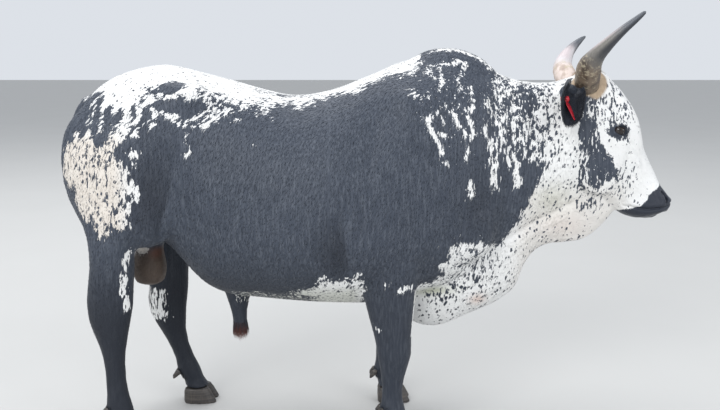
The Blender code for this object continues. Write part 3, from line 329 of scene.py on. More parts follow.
def biggest(points, quads):
    """The largest connected surface."""
    label = np.arange(len(points))
    a, b = np.vstack([quads[:, [k, (k + 1) % 4]] for k in range(4)]).T
    while True:
        low = np.minimum(label[a], label[b])
        fresh = label.copy()
        np.minimum.at(fresh, a, low)
        np.minimum.at(fresh, b, low)
        fresh = fresh[fresh]
        fresh = fresh[fresh]
        if np.array_equal(fresh, label):
            break
        label = fresh
    names, counts = np.unique(label, return_counts=True)
    keep = label == names[np.argmax(counts)]
    index = np.cumsum(keep) - 1
    return points[keep], index[quads[keep[quads[:, 0]]]]


def remeshed(points, triangles, voxel):
    """One even closed surface round everything given."""
    item = new_mesh("work", points, triangles)
    change = item.modifiers.new("remesh", "REMESH")
    change.mode = "VOXEL"
    change.voxel_size = voxel
    seen = item.evaluated_get(bpy.context.evaluated_depsgraph_get())
    mesh = bpy.data.meshes.new_from_object(seen)
    quads = read(mesh.loops, "vertex_index", 1, np.int32).reshape(-1, 4)
    rows = points_of(mesh)
    bpy.data.meshes.remove(mesh)
    drop(item)
    return biggest(rows, quads)


def moulded(name, points, triangles, voxel, rounds):
    """A piece with one even closed surface, smoothed."""
    item = new_mesh(name, *remeshed(points, triangles, voxel))
    put_points(item.data, relax(points_of(item.data), edges_of(item.data), 1.0, rounds))
    return item


def welded(name):
    """A CAD node's points and triangles with its split corners joined again."""
    mesh = NODES[name].data
    points = points_of(mesh)
    triangles = triangles_of(mesh)
    _, first, back = np.unique(
        np.round(points * 1e5).astype(np.int64), axis=0, return_index=True, return_inverse=True
    )
    triangles = back.reshape(-1)[triangles]
    fine = (triangles[:, 0] != triangles[:, 1]) & (triangles[:, 1] != triangles[:, 2])
    fine &= triangles[:, 0] != triangles[:, 2]
    return points[first], triangles[fine]


def corner_normals(points, triangles):
    """Normals of a bare surface at its points."""
    a, b, c = (points[triangles[:, k]] for k in range(3))
    flat = np.cross(b - a, c - a)
    out = np.zeros_like(points)
    for k in range(3):
        for axis in range(3):
            out[:, axis] += np.bincount(triangles[:, k], flat[:, axis], len(points))
    return unit(out)


def line_gap(points, line):
    """Distance from each point to a polyline, both with the same number of axes."""
    line = np.asarray(line, float)
    best = np.full(len(points), 1e9)
    for a, b in zip(line[:-1], line[1:]):
        d = b - a
        t = np.clip((points - a) @ d / max(d @ d, 1e-12), 0.0, 1.0)
        gap = np.linalg.norm(points - a - t[:, None] * d, axis=1)
        best = np.minimum(best, gap)
    return best


def within(flat, outline):
    """Which points of the X and Z plane lie inside an outline."""
    outline = np.asarray(outline, float)
    inside = np.zeros(len(flat), bool)
    x, z = flat.T
    for a, b in zip(outline, np.roll(outline, -1, axis=0)):
        crosses = (a[1] > z) != (b[1] > z)
        span = b[1] - a[1]
        at = a[0] + (z - a[1]) / (span if abs(span) > 1e-12 else 1e-12) * (b[0] - a[0])
        inside ^= crosses & (x < at)
    return inside


def put_value(mesh, name, values):
    layer = mesh.attributes.new(name, "FLOAT", "POINT")
    layer.data.foreach_set("value", np.ascontiguousarray(values, np.float32))


def put_vector(mesh, name, rows):
    layer = mesh.attributes.new(name, "FLOAT_VECTOR", "POINT")
    layer.data.foreach_set("vector", np.ascontiguousarray(rows, np.float32).ravel())


# Skin
def zoomed(points, forward=True):
    """Spreads the space round the head, so that an even grid is finer there."""
    middle = from_head(HEAD_MIDDLE)
    away = points - middle
    r = np.maximum(np.linalg.norm(away, axis=1), 1e-9)
    edge = HEAD_ZOOM_RADIUS
    if forward:
        far = np.where(r < edge, r * HEAD_ZOOM, r + edge * (HEAD_ZOOM - 1.0))
    else:
        far = np.where(r < edge * HEAD_ZOOM, r / HEAD_ZOOM, r - edge * (HEAD_ZOOM - 1.0))
    return middle + away * (far / r)[:, None]


def build_skin():
    """The flesh nodes joined into one surface, finest on the head."""
    stacks, faces, start = [], [], 0
    for name in FLESH:
        points, triangles = welded(name)
        points = points + corner_normals(points, triangles) * SEAM_CLOSING
        stacks.append(points)
        faces.append(triangles + start)
        start += len(points)
    points = zoomed(np.vstack(stacks))
    points, quads = remeshed(points, np.vstack(faces), VOXEL)
    points = zoomed(points, forward=False)
    item = new_mesh("skin", points, quads)
    mesh = item.data
    edges = edges_of(mesh)
    head = to_head(points)
    face = ease(head[:, 0], 0.74, 0.80) * ease(head[:, 2], 0.74, 0.80)
    points = relax(points, edges, 1.0 - 0.55 * face, 20)
    put_points(mesh, points)
    snout = ease(head[:, 0], 0.98, 1.05) * ease(head[:, 2], 0.74, 0.80)
    limb = 1.0 - ease(points[:, 2], 0.45, 0.60)
    depth = SEAM_CLOSING + 0.0018 - 0.0008 * np.maximum(face, limb) - 0.0010 * snout
    put_points(mesh, points - normals_of(mesh) * depth[:, None])
    return item


def refine(item, places):
    """Splits the edges near the given places in two, once for each place and reach."""
    work = bmesh.new()
    work.from_mesh(item.data)
    for centre, reach in places:
        centre = Vector(centre)
        near = {v for v in work.verts if (v.co - centre).length < reach}
        cut = {e for v in near for e in v.link_edges if e.other_vert(v) in near}
        bmesh.ops.subdivide_edges(work, edges=sorted(cut, key=lambda e: e.index), cuts=1, use_grid_fill=True)
    work.to_mesh(item.data)
    work.free()
    item.data.update()


def both_sides(row):
    """A place on the head and its mirror image."""
    return [from_head((row[0], row[1] * side, row[2])) for side in (-1, 1)]


# Fine relief on the head: line in X and Z of its own frame, reach, height, least and most |Y|
HEAD_STROKES = (
    (((1.136, .850), (1.096, .831), (1.030, .826), (.955, .838)), .0030, -.0046, 0.0, 1.0),
    (((1.130, .861), (1.090, .843), (1.030, .838), (.965, .849)), .0085, .0018, 0.0, 1.0),
    (((1.118, .830), (1.070, .815), (1.010, .814)), .0085, .0018, 0.0, 1.0),
    (((1.091, .887), (1.103, .877), (1.108, .862), (1.104, .850)), .0045, -.0070, .02, 1.0),
    (((1.100, .866), (1.106, .862)), .0050, -.0040, .02, 1.0),
    (((1.083, .893), (1.092, .884), (1.095, .868), (1.094, .852)), .0050, .0022, .02, 1.0),
    (((1.085, .905), (1.080, .880), (1.088, .858)), .0030, -.0014, .03, 1.0),
    (((1.070, .912), (1.064, .885), (1.072, .860)), .0030, -.0011, .03, 1.0),
    (((1.052, .922), (1.046, .895), (1.052, .870)), .0030, -.0009, .03, 1.0),
    (((.955, .838), (.945, .845), (.940, .860)), .0045, -.0022, .02, 1.0),
    (((.940, .830), (.925, .838)), .0045, -.0016, .02, 1.0),
    (((.935, 1.088), (.960, 1.055), (.985, 1.020)), .0040, -.0016, .06, 1.0),
    (((.948, 1.046), (.990, .985), (1.030, .950)), .0120, .0022, .05, 1.0),
    (((.950, 1.060), (.930, .975), (.950, .890)), .0120, -.0028, .04, 1.0),
    (((.900, 1.030), (.925, .985), (.965, .955), (1.005, .925)), .0030, .0013, .04, 1.0),
    (((.940, .972), (.975, .925), (1.000, .895)), .0026, .0011, .04, 1.0),
    (((.850, 1.215), (.884, 1.180)), .0220, -.0030, .05, 1.0),
    (((.800, 1.050), (.815, .980), (.850, .915)), .0140, -.0030, .04, 1.0),
    (((.944, 1.146), (.925, 1.163), (.893, 1.166), (.868, 1.152)), .0050, .0016, .06, 1.0),
)
# The same for the body, in the modelling frame
BODY_STROKES = (
    (((.330, 1.215), (.300, 1.080), (.330, .930)), .014, -.0030, .10),
    (((.410, 1.215), (.385, 1.060), (.400, .900)), .010, -.0026, .08),
    (((.480, 1.230), (.455, 1.060), (.465, .880)), .010, -.0034, .06),
    (((.545, 1.240), (.520, 1.060), (.540, .850)), .008, -.0026, .05),
    (((.605, 1.230), (.590, 1.050), (.615, .860)), .007, -.0026, .05),
    (((.665, 1.230), (.655, 1.060), (.685, .880)), .007, -.0022, .04),
    (((.705, 1.200), (.705, 1.080), (.735, .930)), .006, -.0020, .04),
    (((.780, .860), (.640, .790), (.520, .720), (.390, .640)), .012, -.0030, .03),
    (((.740, .800), (.620, .735), (.510, .650), (.400, .560)), .010, .0026, .03),
    (((.700, .745), (.610, .700), (.560, .600), (.450, .520)), .010, -.0026, .02),
    (((.640, .690), (.585, .600), (.500, .510)), .008, .0022, .02),
    (((-.600, .900), (-.560, .760), (-.570, .640)), .014, -.0030, .10),
    (((-.560, .880), (-.515, .750), (-.520, .630)), .010, -.0022, .10),
    (((.055, 1.150), (.020, .980), (.030, .800)), .020, -.0030, .15),
    (((.180, 1.050), (.200, .900), (.170, .760)), .022, -.0030, .15),
    (((.275, .830), (.255, .740), (.215, .640)), .016, -.0026, .12),
    (((.130, .600), (.125, .500), (.128, .420)), .010, -.0024, .10),
    (((.090, .600), (.100, .500), (.110, .420)), .009, .0018, .10),
    (((.132, .290), (.128, .190)), .007, -.0018, .10),
    (((-.905, .740), (-.900, .640), (-.905, .560)), .010, -.0024, .10),
    (((-.862, .740), (-.858, .640), (-.872, .560)), .012, .0020, .10),
    (((-.890, .320), (-.886, .200)), .006, -.0018, .10),
    (((-.800, 1.160), (-.880, 1.020), (-.905, .880)), .020, -.0030, .12),
    (((-.700, 1.120), (-.735, .980), (-.740, .850)), .022, .0022, .12),
    (((-.632, 1.069), (-.635, 1.001), (-.650, .914), (-.672, .845), (-.700, .754)), .013, -.0044, .12),
    (((-.040, .900), (-.056, .850), (-.050, .760), (-.038, .665)), .012, -.0040, .15),
)


def sculpt(item):
    """Raises and sinks the skin along the strokes."""
    mesh = item.data
    points = points_of(mesh)
    normals = normals_of(mesh)
    head = to_head(points)
    flat = head[:, [0, 2]]
    lift = np.zeros(len(points))
    near = (head[:, 0] > 0.76) & (head[:, 2] > 0.74)
    for line, reach, height, low, high in HEAD_STROKES:
        pick = near & (np.abs(head[:, 1]) > low) & (np.abs(head[:, 1]) < high)
        gap = line_gap(flat[pick], line)
        lift[pick] += height * np.exp(-(gap / reach) ** 2)
    body = points - SHIFT
    flat = body[:, [0, 2]]
    for line, reach, height, low in BODY_STROKES:
        box = np.asarray(line)
        pick = (np.abs(body[:, 1]) > low) & (head[:, 0] < 0.80)
        for axis, column in ((0, flat[:, 0]), (1, flat[:, 1])):
            pick &= (column > box[:, axis].min() - 3 * reach) & (column < box[:, axis].max() + 3 * reach)
        gap = line_gap(flat[pick], line)
        lift[pick] += height * np.exp(-(gap / reach) ** 2)
    points += normals * lift[:, None]
    put_points(mesh, points)


def eye_frame(side):
    """Columns: forward along the lids, up, and out of the head; and the centre."""
    out = np.array((0.35, side, -0.08))
    out /= np.linalg.norm(out)
    along = np.array((0.66, 0.0, -0.75))
    along -= out * (along @ out)
    along /= np.linalg.norm(along)
    up = np.cross(along, out) * (1 if side < 0 else -1)
    if up[2] < 0:
        up = -up
    turn = TURN[:3, :3]
    centre = from_head((EYE[0], EYE[1] * side, EYE[2]))
    return turn @ along, turn @ up, turn @ out, centre


LID_REACH = math.radians(48.0)
LID_TOP = math.radians(25.0)
LID_FOOT = math.radians(21.0)
LID_LEAN = math.radians(2.0)
# How far inside the eyeball the skin hides in the opening, and how far outside it the lid's edge lies
LID_SUNK = 0.0045
LID_EDGE = 0.0012


def lids(item):
    """Wraps the skin round the eyeballs and opens an almond in it."""
    mesh = item.data
    points = points_of(mesh)
    for side in (-1, 1):
        along, up, out, centre = eye_frame(side)
        away = points - centre
        r = np.linalg.norm(away, axis=1)
        pick = (r < 0.048) & (away @ out > -0.004)
        v = away[pick] / r[pick, None]
        a = np.arctan2(v @ along, np.maximum(v @ out, 1e-6))
        b = np.arctan2(v @ up, np.maximum(v @ out, 1e-6))
        share = np.clip(1.0 - (a / LID_REACH) ** 2, 0.0, 1.0)
        top = LID_TOP * share ** 0.62 + LID_LEAN * (a / LID_REACH)
        foot = -LID_FOOT * share ** 0.72 + LID_LEAN * (a / LID_REACH)
        middle, half = 0.5 * (top + foot), 0.5 * (top - foot)
        beyond = np.abs(b - middle) - half
        ends = np.abs(a) - LID_REACH
        beyond = np.where(ends > 0, np.maximum(beyond, ends), beyond)
        outside = np.degrees(beyond)
        rim = EYE_RADIUS + 0.0010 + 0.0022 * np.exp(-((outside - 5.0) / 4.5) ** 2)
        rim += np.where(b > middle, 0.0012, 0.0) * np.exp(-((outside - 9.0) / 7.0) ** 2)
        crease = -0.0016 * np.exp(-((outside - 15.0) / 2.6) ** 2)
        keep = ease(outside, 14.0, 42.0)
        wanted = (rim + crease) * (1.0 - keep) + r[pick] * keep
        wanted = np.where(outside < 0.0, EYE_RADIUS - LID_SUNK, wanted)
        edge = np.clip((outside + 1.5) / 3.0, 0.0, 1.0)
        turned_in = lerp(EYE_RADIUS - LID_SUNK, EYE_RADIUS + LID_EDGE, edge)
        wanted = np.where((outside > -1.5) & (outside < 1.5), turned_in, wanted)
        points[pick] = centre + v * wanted[:, None]
    put_points(mesh, points)


# Markings
BLACK_SPOTS = (
    # x, y, z, half length, half height, lean in degrees
    (-.637, -.19, 1.279, .047, .034, 12), (-.644, -.22, 1.215, .036, .024, 5),
    (-.578, -.21, 1.200, .042, .028, 14), (-.540, -.20, 1.235, .011, .028, 0),
    (-.497, -.19, 1.224, .017, .025, -20), (-.471, -.19, 1.211, .013, .018, -30),
    (-.439, -.18, 1.216, .021, .016, -30), (-.532, -.21, 1.178, .013, .022, -30),
    (-.509, -.21, 1.171, .011, .020, -30), (-.760, -.22, 1.198, .012, .030, 0),
    (-.734, -.20, 1.244, .007, .020, -25), (-.721, -.20, 1.247, .007, .020, -25),
    (-.688, -.19, 1.261, .007, .016, -10), (-.603, -.22, 1.238, .013, .012, 0),
    (-.287, -.05, 1.245, .050, .016, 0), (-.771, -.250, .911, .015, .010, 10),
    (-.825, -.257, .864, .017, .016, 30), (-.811, -.255, .888, .014, .010, 40),
    (-.793, -.256, .829, .008, .008, 0), (-.908, -.245, .834, .009, .008, 0),
    (-.795, -.255, .932, .009, .007, 0), (.402, -.200, .708, .024, .015, -25),
)
WHITE_DOTS = (
    # x, y, z, half length, half height
    (.377, -.235, .936, .007, .014), (.381, -.233, .915, .009, .013),
    (.138, -.255, .583, .006, .005), (.160, -.248, .591, .007, .006), (.180, -.234, .587, .008, .006),
    (.099, -.261, .607, .006, .005), (.053, -.220, .443, .010, .007), (.066, -.228, .434, .006, .005),
    (.028, -.220, .458, .007, .010), (-.332, -.23, 1.165, .006, .006), (-.300, -.22, 1.170, .006, .006),
    (-.355, -.23, 1.080, .006, .012), (-.420, -.22, 1.160, .006, .005), (-.584, -.233, 1.112, .006, .010),
    (-.577, -.239, 1.082, .007, .008), (-.586, -.242, 1.056, .008, .006), (-.568, -.242, 1.060, .007, .005),
    (-.562, -.222, 1.145, .006, .005), (-.755, -.233, 1.119, .007, .012), (-.759, -.242, 1.054, .009, .010),
    (-.756, -.244, 1.028, .004, .006),
)
# Outlines on the head, and the middles of two lines on the body
CHEEK = (
    (.770, -.098, 1.290), (.822, -.098, 1.275), (.819, -.100, 1.237), (.820, -.100, 1.182),
    (.817, -.097, 1.119), (.824, -.096, 1.080), (.851, -.098, 1.046), (.869, -.097, 1.018),
    (.893, -.093, .990), (.911, -.086, .966), (.899, -.078, .935), (.865, -.078, .935),
    (.851, -.081, .912), (.829, -.073, .901), (.807, -.071, .908), (.772, -.047, .895),
    (.749, -.074, .958), (.746, -.086, 1.001), (.743, -.099, 1.081), (.750, -.098, 1.161),
)
EYE_PATCH = (
    (.850, -.101, 1.117), (.876, -.110, 1.134), (.904, -.118, 1.142), (.923, -.117, 1.119),
    (.936, -.100, 1.076), (.906, -.112, 1.088), (.880, -.103, 1.081), (.858, -.102, 1.104),
)
CREST = (
    (.150, -.030, 1.332), (.197, -.030, 1.350), (.235, -.030, 1.372), (.276, -.030, 1.399),
    (.322, -.030, 1.405), (.357, -.030, 1.397), (.413, -.030, 1.378), (.459, -.030, 1.350),
    (.506, -.030, 1.316), (.560, -.030, 1.298),
)
GASKIN = (
    (-.800, -.220, .715), (-.810, -.228, .690), (-.816, -.228, .640), (-.819, -.225, .580),
    (-.816, -.21, .510),
)
# Names of the pattern's values; deep darkens the black, and on the body it is painted shade in the folds and
# low on the legs
FIELDS = (
    "white", "ragged", "streak", "slant", "dark", "pale", "bare", "tan", "prepuce", "collar",
    "cream", "olive_grey", "pink", "deep",
)
# Where the bare muzzle begins on the head: height and x
MUZZLE_EDGE = (
    (.70, 1.30), (.775, 1.20), (.790, .990), (.818, .938), (.824, .952), (.830, .986), (.838, 1.008),
    (.861, 1.029), (.877, 1.034), (.889, 1.048), (.904, 1.077), (.918, 1.092), (.94, 1.125),
)
# How white the neck is at each place along it
NECK_STEPS = (.38, .46, .52, .58, .62, .66, .70, .74, .79)
NECK_WHITE = (-.045, -.027, -.014, -.007, .000, .007, .015, .023, .035)
HORN_ROOTS = ((0.792, -0.082, 1.300), (0.762, 0.076, 1.295))
EAR_ROOTS = ((0.731, -0.090, 1.262), (0.711, 0.090, 1.240))
# How deep the white stays, from the edge of a thinned zone to its middle
THIN_STEPS = (0.0, 0.1, 0.35, 0.7, 1.0)
THIN_WHITE = (0.060, 0.017, 0.010, 0.0060, 0.0045)
# Depths inside an outline are counted up to this
FAR = 0.06


def area_gap(points, outline):
    """How deep each point lies inside an outline; less than 0 outside."""
    outline = np.asarray(outline, float)
    gap = np.full(len(points), -FAR)
    edge, flat = outline[:, [0, 2]], points[:, [0, 2]]
    pick = np.all((flat > edge.min(0) - FAR) & (flat < edge.max(0) + FAR), axis=1)
    far = np.minimum(line_gap(points[pick], np.vstack([outline, outline[:1]])), FAR)
    gap[pick] = np.where(within(flat[pick], edge), far, -far)
    return gap


def blob(x, z, at_x, at_z, wide, high):
    """1 at one place of the side view, falling off round it."""
    return np.exp(-((x - at_x) / wide) ** 2 - ((z - at_z) / high) ** 2)


def thinned(white, zone):
    """White with more and more black hairs towards the middle of a zone."""
    return np.minimum(white, np.interp(zone, THIN_STEPS, THIN_WHITE))


def oval_gap(seen, row):
    """How deep each point lies inside a leaning oval on the side of the body."""
    x, y, z, wide, high, lean = row
    near = seen - np.array((x, y, z))
    c, s = math.cos(math.radians(lean)), math.sin(math.radians(lean))
    down = np.sign(near[:, 2]) * np.hypot(near[:, 2], near[:, 1])
    u, w = near[:, 0] * c + down * s, down * c - near[:, 0] * s
    return (1.0 - np.sqrt((u / wide) ** 2 + (w / high) ** 2)) * min(wide, high)


def body_marks(seen, on_head):
    """The outlined areas, lines and spots of the body, and how ragged their edges are."""
    x, y, z = seen.T
    off = 1.0 - on_head
    white = np.full(len(seen), -FAR)
    for outline in WHITE_AREAS.values():
        white = np.maximum(white, area_gap(seen, np.asarray(outline) / 1000.0))
    for width, *line in WHITE_LINES.values():
        rows = np.asarray(line) / 1000.0
        low, high = rows.min(0) - 0.05, rows.max(0) + 0.05
        pick = (x > low[0]) & (x < high[0]) & (z > low[2]) & (z < high[2])
        white[pick] = np.maximum(white[pick], width / 2000.0 - line_gap(seen[pick], rows))
    for row in WHITE_DOTS:
        white = np.maximum(white, oval_gap(seen, (*row, 0.0)))
    for row in BLACK_SPOTS:
        white = np.minimum(white, -oval_gap(seen, row))

    # The hump: a white crest, partly a marking and partly painted rim light, over a net of fine white
    crest = 0.0065 - line_gap(np.stack([x, np.minimum(y, -0.030), z], 1), CREST)
    net = blob(x, z, .335, 1.362, .060, .022)
    white = np.maximum(np.maximum(white, crest), -0.05 + 0.045 * net)
    # The white of the back breaks up along its lower edge
    saddle = ease(z, 1.14, 1.18) * ease(x, -0.62, -0.50) * (1.0 - ease(x, 0.20, 0.28))
    white = white * (1.0 - 0.42 * saddle) - 0.002 * saddle
    # The neck passes from black with white streaks to white with black flecks
    wavy = x + 0.016 * np.sin(19.0 * z) + 0.010 * np.sin(47.0 * z + 1.0)
    mix = np.interp(wavy, NECK_STEPS, NECK_WHITE) - 0.018 * blob(x, z, .575, 1.225, .050, .040)
    band = ease(z, 0.92, 1.04) * ease(x, 0.38, 0.46) * off
    white = lerp(white, np.maximum(white * 0.55, mix), band)
    # The brisket's black hairs, thickest between the forelegs
    roots = ease(x, 0.20, 0.26) * (1.0 - ease(x, 0.50, 0.60)) * (1.0 - ease(z, 0.76, 0.86)) * off
    zone = roots * np.maximum(blob(x, z, .390, .610, .105, .110), 0.8 * blob(x, z, .30, .52, .09, .035))
    white = thinned(white, zone)
    verge = (1.0 - ease(z, 1.0, 1.1)) * ease(x, 0.20, 0.26) * off
    # The roan of the legs, the fringe of the belly and the thigh
    roan = 0.010 - line_gap(seen, GASKIN)
    white = np.maximum(white, roan)
    fringe = ease(x, -.52, -.44) * (1.0 - ease(x, -.06, -.03))
    fringe = fringe * (1.0 - ease(z, .545, .575)) * ease(z, .40, .44)
    white = lerp(white, -.007 + .018 * ease(x, -.20, -.10), fringe)
    chest = (x > -.25) & (x < .03) & (z < .66)
    white = np.where(chest, np.minimum(white, 0.0105), white)
    white = thinned(white, blob(x, z, -.885, 1.035, .075, .085))
    salt = (x < -0.70) & (z > 0.72) & (z < 1.16)
    white = np.where(salt, np.minimum(white, 0.0125), white)
    # Behind, the white runs out towards the tail
    behind = ease(-x, 0.86, 0.92) * (1.0 - ease(z, 1.16, 1.22)) * (1.0 - ease(-y, 0.10, 0.17))
    white = white - 0.030 * behind
    stern = ease(-x, 0.90, 0.96)
    ragged = highest(0.014, (0.026, band), (0.034, stern))
    streak = highest(
        0.026, (0.040, net), (0.034, ease(crest, -0.02, 0.0)), (0.050, saddle), (0.056, band),
        (0.050, ease(zone, 0.0, 0.2)), (0.040, verge), (0.050, ease(roan, -0.03, 0.0)), (0.056, fringe),
        (0.050, chest | salt), (0.050, stern), (0.044, blob(x, z, -.78, 1.07, .05, .06)),
    )
    return white, ragged, streak


def body_flecks(x, z, on_head):
    """How much of the white is sprinkled with black, and how much of the black with white."""
    off = 1.0 - on_head
    thigh = (x < -0.72) & (z < 1.13) & (z > 0.74)
    neck = ease(x, 0.50, 0.58) * ease(z, 0.92, 1.0) * off
    front = ease(x, 0.15, 0.22) * (1.0 - ease(z, 0.92, 1.0)) * (z > 0.36) * off
    dark = highest(
        np.where(thigh, 0.82, 0.62 * ease(z, 1.14, 1.20) * (x < 0.21)),
        (1.15, thigh * blob(x, z, -.86, .79, .09, .06)),
        (1.00, neck * np.interp(x, (.55, .62, .68, .73, .80), (.60, 0.90, 0.98, .88, .80))),
        (0.80, front), (1.05, front * blob(x, z, .390, .620, .120, .130)),
        (1.40, front * blob(x, z, .285, .505, .060, .030)),
        (1.40, front * blob(x, z, .372, .545, .045, .024)),
    )
    pale = highest(
        0.72 * ease(x, 0.40, 0.50) * ease(z, 1.0, 1.1) * off,
        (0.60, blob(x, z, .31, 1.20, .10, .16)), (0.60, blob(x, z, .39, .66, .12, .12)),
    )
    return dark, pale


def head_marks(points):
    """The head's black cheek, eye patch and muzzle, with its flecks."""
    head = to_head(points)
    hx, hz = head[:, 0], head[:, 2]
    side = np.stack([hx, -np.abs(head[:, 1]), hz], 1)
    cheek, patch = area_gap(side, CHEEK), area_gap(side, EYE_PATCH)
    heights, edge = np.asarray(MUZZLE_EDGE).T
    muzzle = np.clip(hx - np.interp(hz, heights, edge), -FAR, FAR)
    muzzle = np.where(hz < 0.775, -FAR, muzzle)
    ring = np.linalg.norm(side - np.array((EYE[0], -EYE[1], EYE[2])), axis=1)
    black = np.maximum.reduce([cheek, patch, muzzle, 0.033 - ring])
    # The rear edge of the cheek is half white hair
    rear = ease(hz, .88, .93) * (1.0 - ease(hz, 1.05, 1.12))
    rear = rear * (1.0 - ease(hx, .788, .815)) * ease(hx, .735, .75)
    black = lerp(black, np.minimum(black, .0015), rear)
    temple = blob(hx, hz, .812, 1.205, .034, .070)
    black = lerp(black, np.minimum(black, .003), ease(temple, .2, .5))
    forehead = ease(hz, 1.115, 1.160) * (1.0 - ease(hz, 1.28, 1.32)) * (1.0 - ease(hx, .945, .985))
    jaw = blob(hx, hz, .830, .905, .070, .055)
    corner = blob(hx, hz, .925, .930, .055, .070)
    brow = blob(hx, hz, .880, 1.190, .045, .045)
    chin = blob(hx, hz, .812, .858, .058, .046)
    white = thinned(np.clip(-black, -FAR, FAR), np.maximum(0.60 * forehead, brow))
    white = thinned(white, np.maximum.reduce([jaw, 0.9 * corner, 1.1 * chin]))
    white = np.where((white < 0.0) & (cheek > 0.0), np.maximum(white, -0.0120), white)
    plain = ease(hx, 0.955, 0.985) * (1.0 - ease(hz, 1.07, 1.12)) * ease(hz, 0.905, 0.93)
    dark = (1.0 - 0.55 * plain) * highest(
        0.55, (0.85, forehead), (1.10, brow), (1.20, temple), (0.95, corner), (0.90, jaw), (1.20, chin),
        (0.90, np.exp(-(cheek / 0.026) ** 2)), (0.90, np.exp(-(muzzle / 0.020) ** 2) * (hz > .83)),
    )
    streak = highest(
        0.024, (0.052, rear), (0.046, temple), (0.046, cheek > 0.0), (0.044, np.exp(-(cheek / 0.03) ** 2)),
        (0.046, ease(np.maximum.reduce([forehead, jaw, corner, chin]), 0.0, 0.2)),
        (0.030, np.exp(-(patch / 0.02) ** 2)),
    )
    streak = np.where((muzzle > -0.025) & (hx > .93), 0.010, streak)
    return white, dark, 0.24 * (cheek > -0.01), streak, muzzle, ring


def markings(points):
    """The coat's pattern at each point, with the painted shade on its black, as named values."""
    body = points - SHIFT
    bx, by, bz = body.T
    # The left side's pattern is the right side's, pulled a little out of shape
    left = ease(by, -0.02, 0.06)
    x = bx + left * (0.022 * np.sin(9.0 * bz + 1.0) + 0.015)
    z = bz + left * 0.020 * np.sin(7.0 * bx)
    head = to_head(points)
    on_head = ease(head[:, 0] + 0.10 * (head[:, 2] - 1.1), 0.738, 0.752) * ease(head[:, 2], 0.72, 0.78)
    white, ragged, streak = body_marks(np.stack([x, -np.abs(by), z], 1), on_head)
    dark, pale = body_flecks(x, z, on_head)

    # Inner side of the far hind leg, mottled with white
    inner = (np.abs(by) < 0.175) & (bx < -0.6) & (bx > -0.84)
    roan = ease(bz, 0.31, 0.36) * (1.0 - ease(bz, 0.47, 0.53)) * inner
    white = np.maximum(white, -0.06 + roan * np.interp(bx, (-.80, -.765, -.745), (.062, .055, .035)))
    streak = np.maximum(streak, 0.050 * roan)

    face_white, face_dark, face_pale, face_streak, muzzle, ring = head_marks(points)
    white = lerp(white, face_white, on_head)
    dark = lerp(dark, face_dark, on_head)
    pale = lerp(pale, face_pale, on_head)
    streak = lerp(streak, face_streak, on_head)
    ragged = lerp(ragged, 0.006, on_head)
    bare = np.maximum(ease(muzzle, -0.001, 0.009), np.clip((0.027 - ring) / 0.006, 0.0, 1.0)) * on_head

    sac = (bx > -0.87) & (bx < -0.70) & (bz < 0.70) & (bz > 0.50) & (np.abs(by) < 0.085)
    sac = sac * (1.0 - ease(bz, 0.670, 0.695))
    hairy = blob(bx, bz, -.803, .682, .030, .020) * (sac > 0)
    tan = sac * (1.0 - hairy)
    sheath = (np.abs(bx + 0.455) < 0.065) & (np.abs(by) < 0.065) & (bz < 0.475)
    rosy = 0.55 * blob(bx, bz, -.752, .668, .022, .020) * (sac > 0)
    prepuce = np.maximum(sheath * (1.0 - ease(bz, 0.36, 0.40)), rosy)
    collar = np.zeros(len(points))
    for root in HORN_ROOTS:
        gap = np.linalg.norm(body - np.array(root), axis=1) - 0.024 * ease(bx - root[0], 0.0, 0.045)
        collar = np.maximum(collar, 1.0 - ease(gap, 0.050, 0.062))
    for root in EAR_ROOTS:
        plug = 1.0 - ease(np.linalg.norm(body - np.array(root), axis=1), 0.030, 0.036)
        white = lerp(white, -FAR, plug)
        pale = pale * (1.0 - plug)
        collar = collar * (1.0 - plug)
    cream = highest(
        (1.0 - ease(x, -0.84, -0.76)) * ease(z, 0.70, 0.80) * (1.0 - ease(z, 1.08, 1.16)), (1.0, hairy),
        (0.45, ease(x, .52, .62) * (1.0 - ease(z, .86, .98)) * (1.0 - ease(head[:, 0], .9, 1.0))),
    )
    # Olive grey over the white: a patch low on the brisket and one on the lower neck, and painted shade
    # along the underside of the belly
    olive_grey = highest(
        blob(x, z, .262, .543, .07, .020), (0.38, blob(x, z, .690, .880, .07, .06)),
        (0.50, ease(x, -.52, -.40) * (1.0 - ease(x, -.03, .02)) * (1.0 - ease(z, .55, .62))),
    )
    pink = highest(blob(x, z, .433, .500, .03, .022), (0.30, blob(x, z, .740, .770, .09, .05)))
    white = np.where((tan > 0.5) | sheath, -0.05, white)
    white = np.where(hairy > 0.4, 0.01, white)
    slant = ease(z, 1.06, 1.15) * (x < 0.21)
    # Painted shade: darker black in the folds and round the shoulder; low on the legs the darker black is
    # partly painted shade and partly their own colour
    groove = np.interp(z, (.754, .845, .914, 1.001, 1.069), (-.700, -.672, -.650, -.635, -.632))
    deep = blob(x, z, -.710, .900, .085, .140) * (1.0 - ease(x, groove - .004, groove + .006))
    groove = np.interp(z, (.665, .760, .850), (-.036, -.050, -.060))
    armpit = blob(x, z, -.075, .730, .070, .110) * (1.0 - ease(x, groove - .004, groove + .008))
    deep = highest(deep, (1.0, armpit), (0.55, blob(x, z, .400, .860, .090, .120)))
    legs = np.interp(x, (-.65, -.50, -.05, .05), (1.0, .75, .75, .55))
    deep = np.maximum(0.75 * deep, legs * (1.0 - ease(z, 0.44, 0.78)))
    return {
        "white": white, "ragged": ragged, "streak": streak, "slant": slant, "dark": dark, "pale": pale,
        "bare": bare, "tan": tan, "prepuce": prepuce, "collar": collar, "cream": cream, "olive_grey": olive_grey,
        "pink": pink, "deep": deep,
    }


# Shading
FLECK_SIZE = 0.45


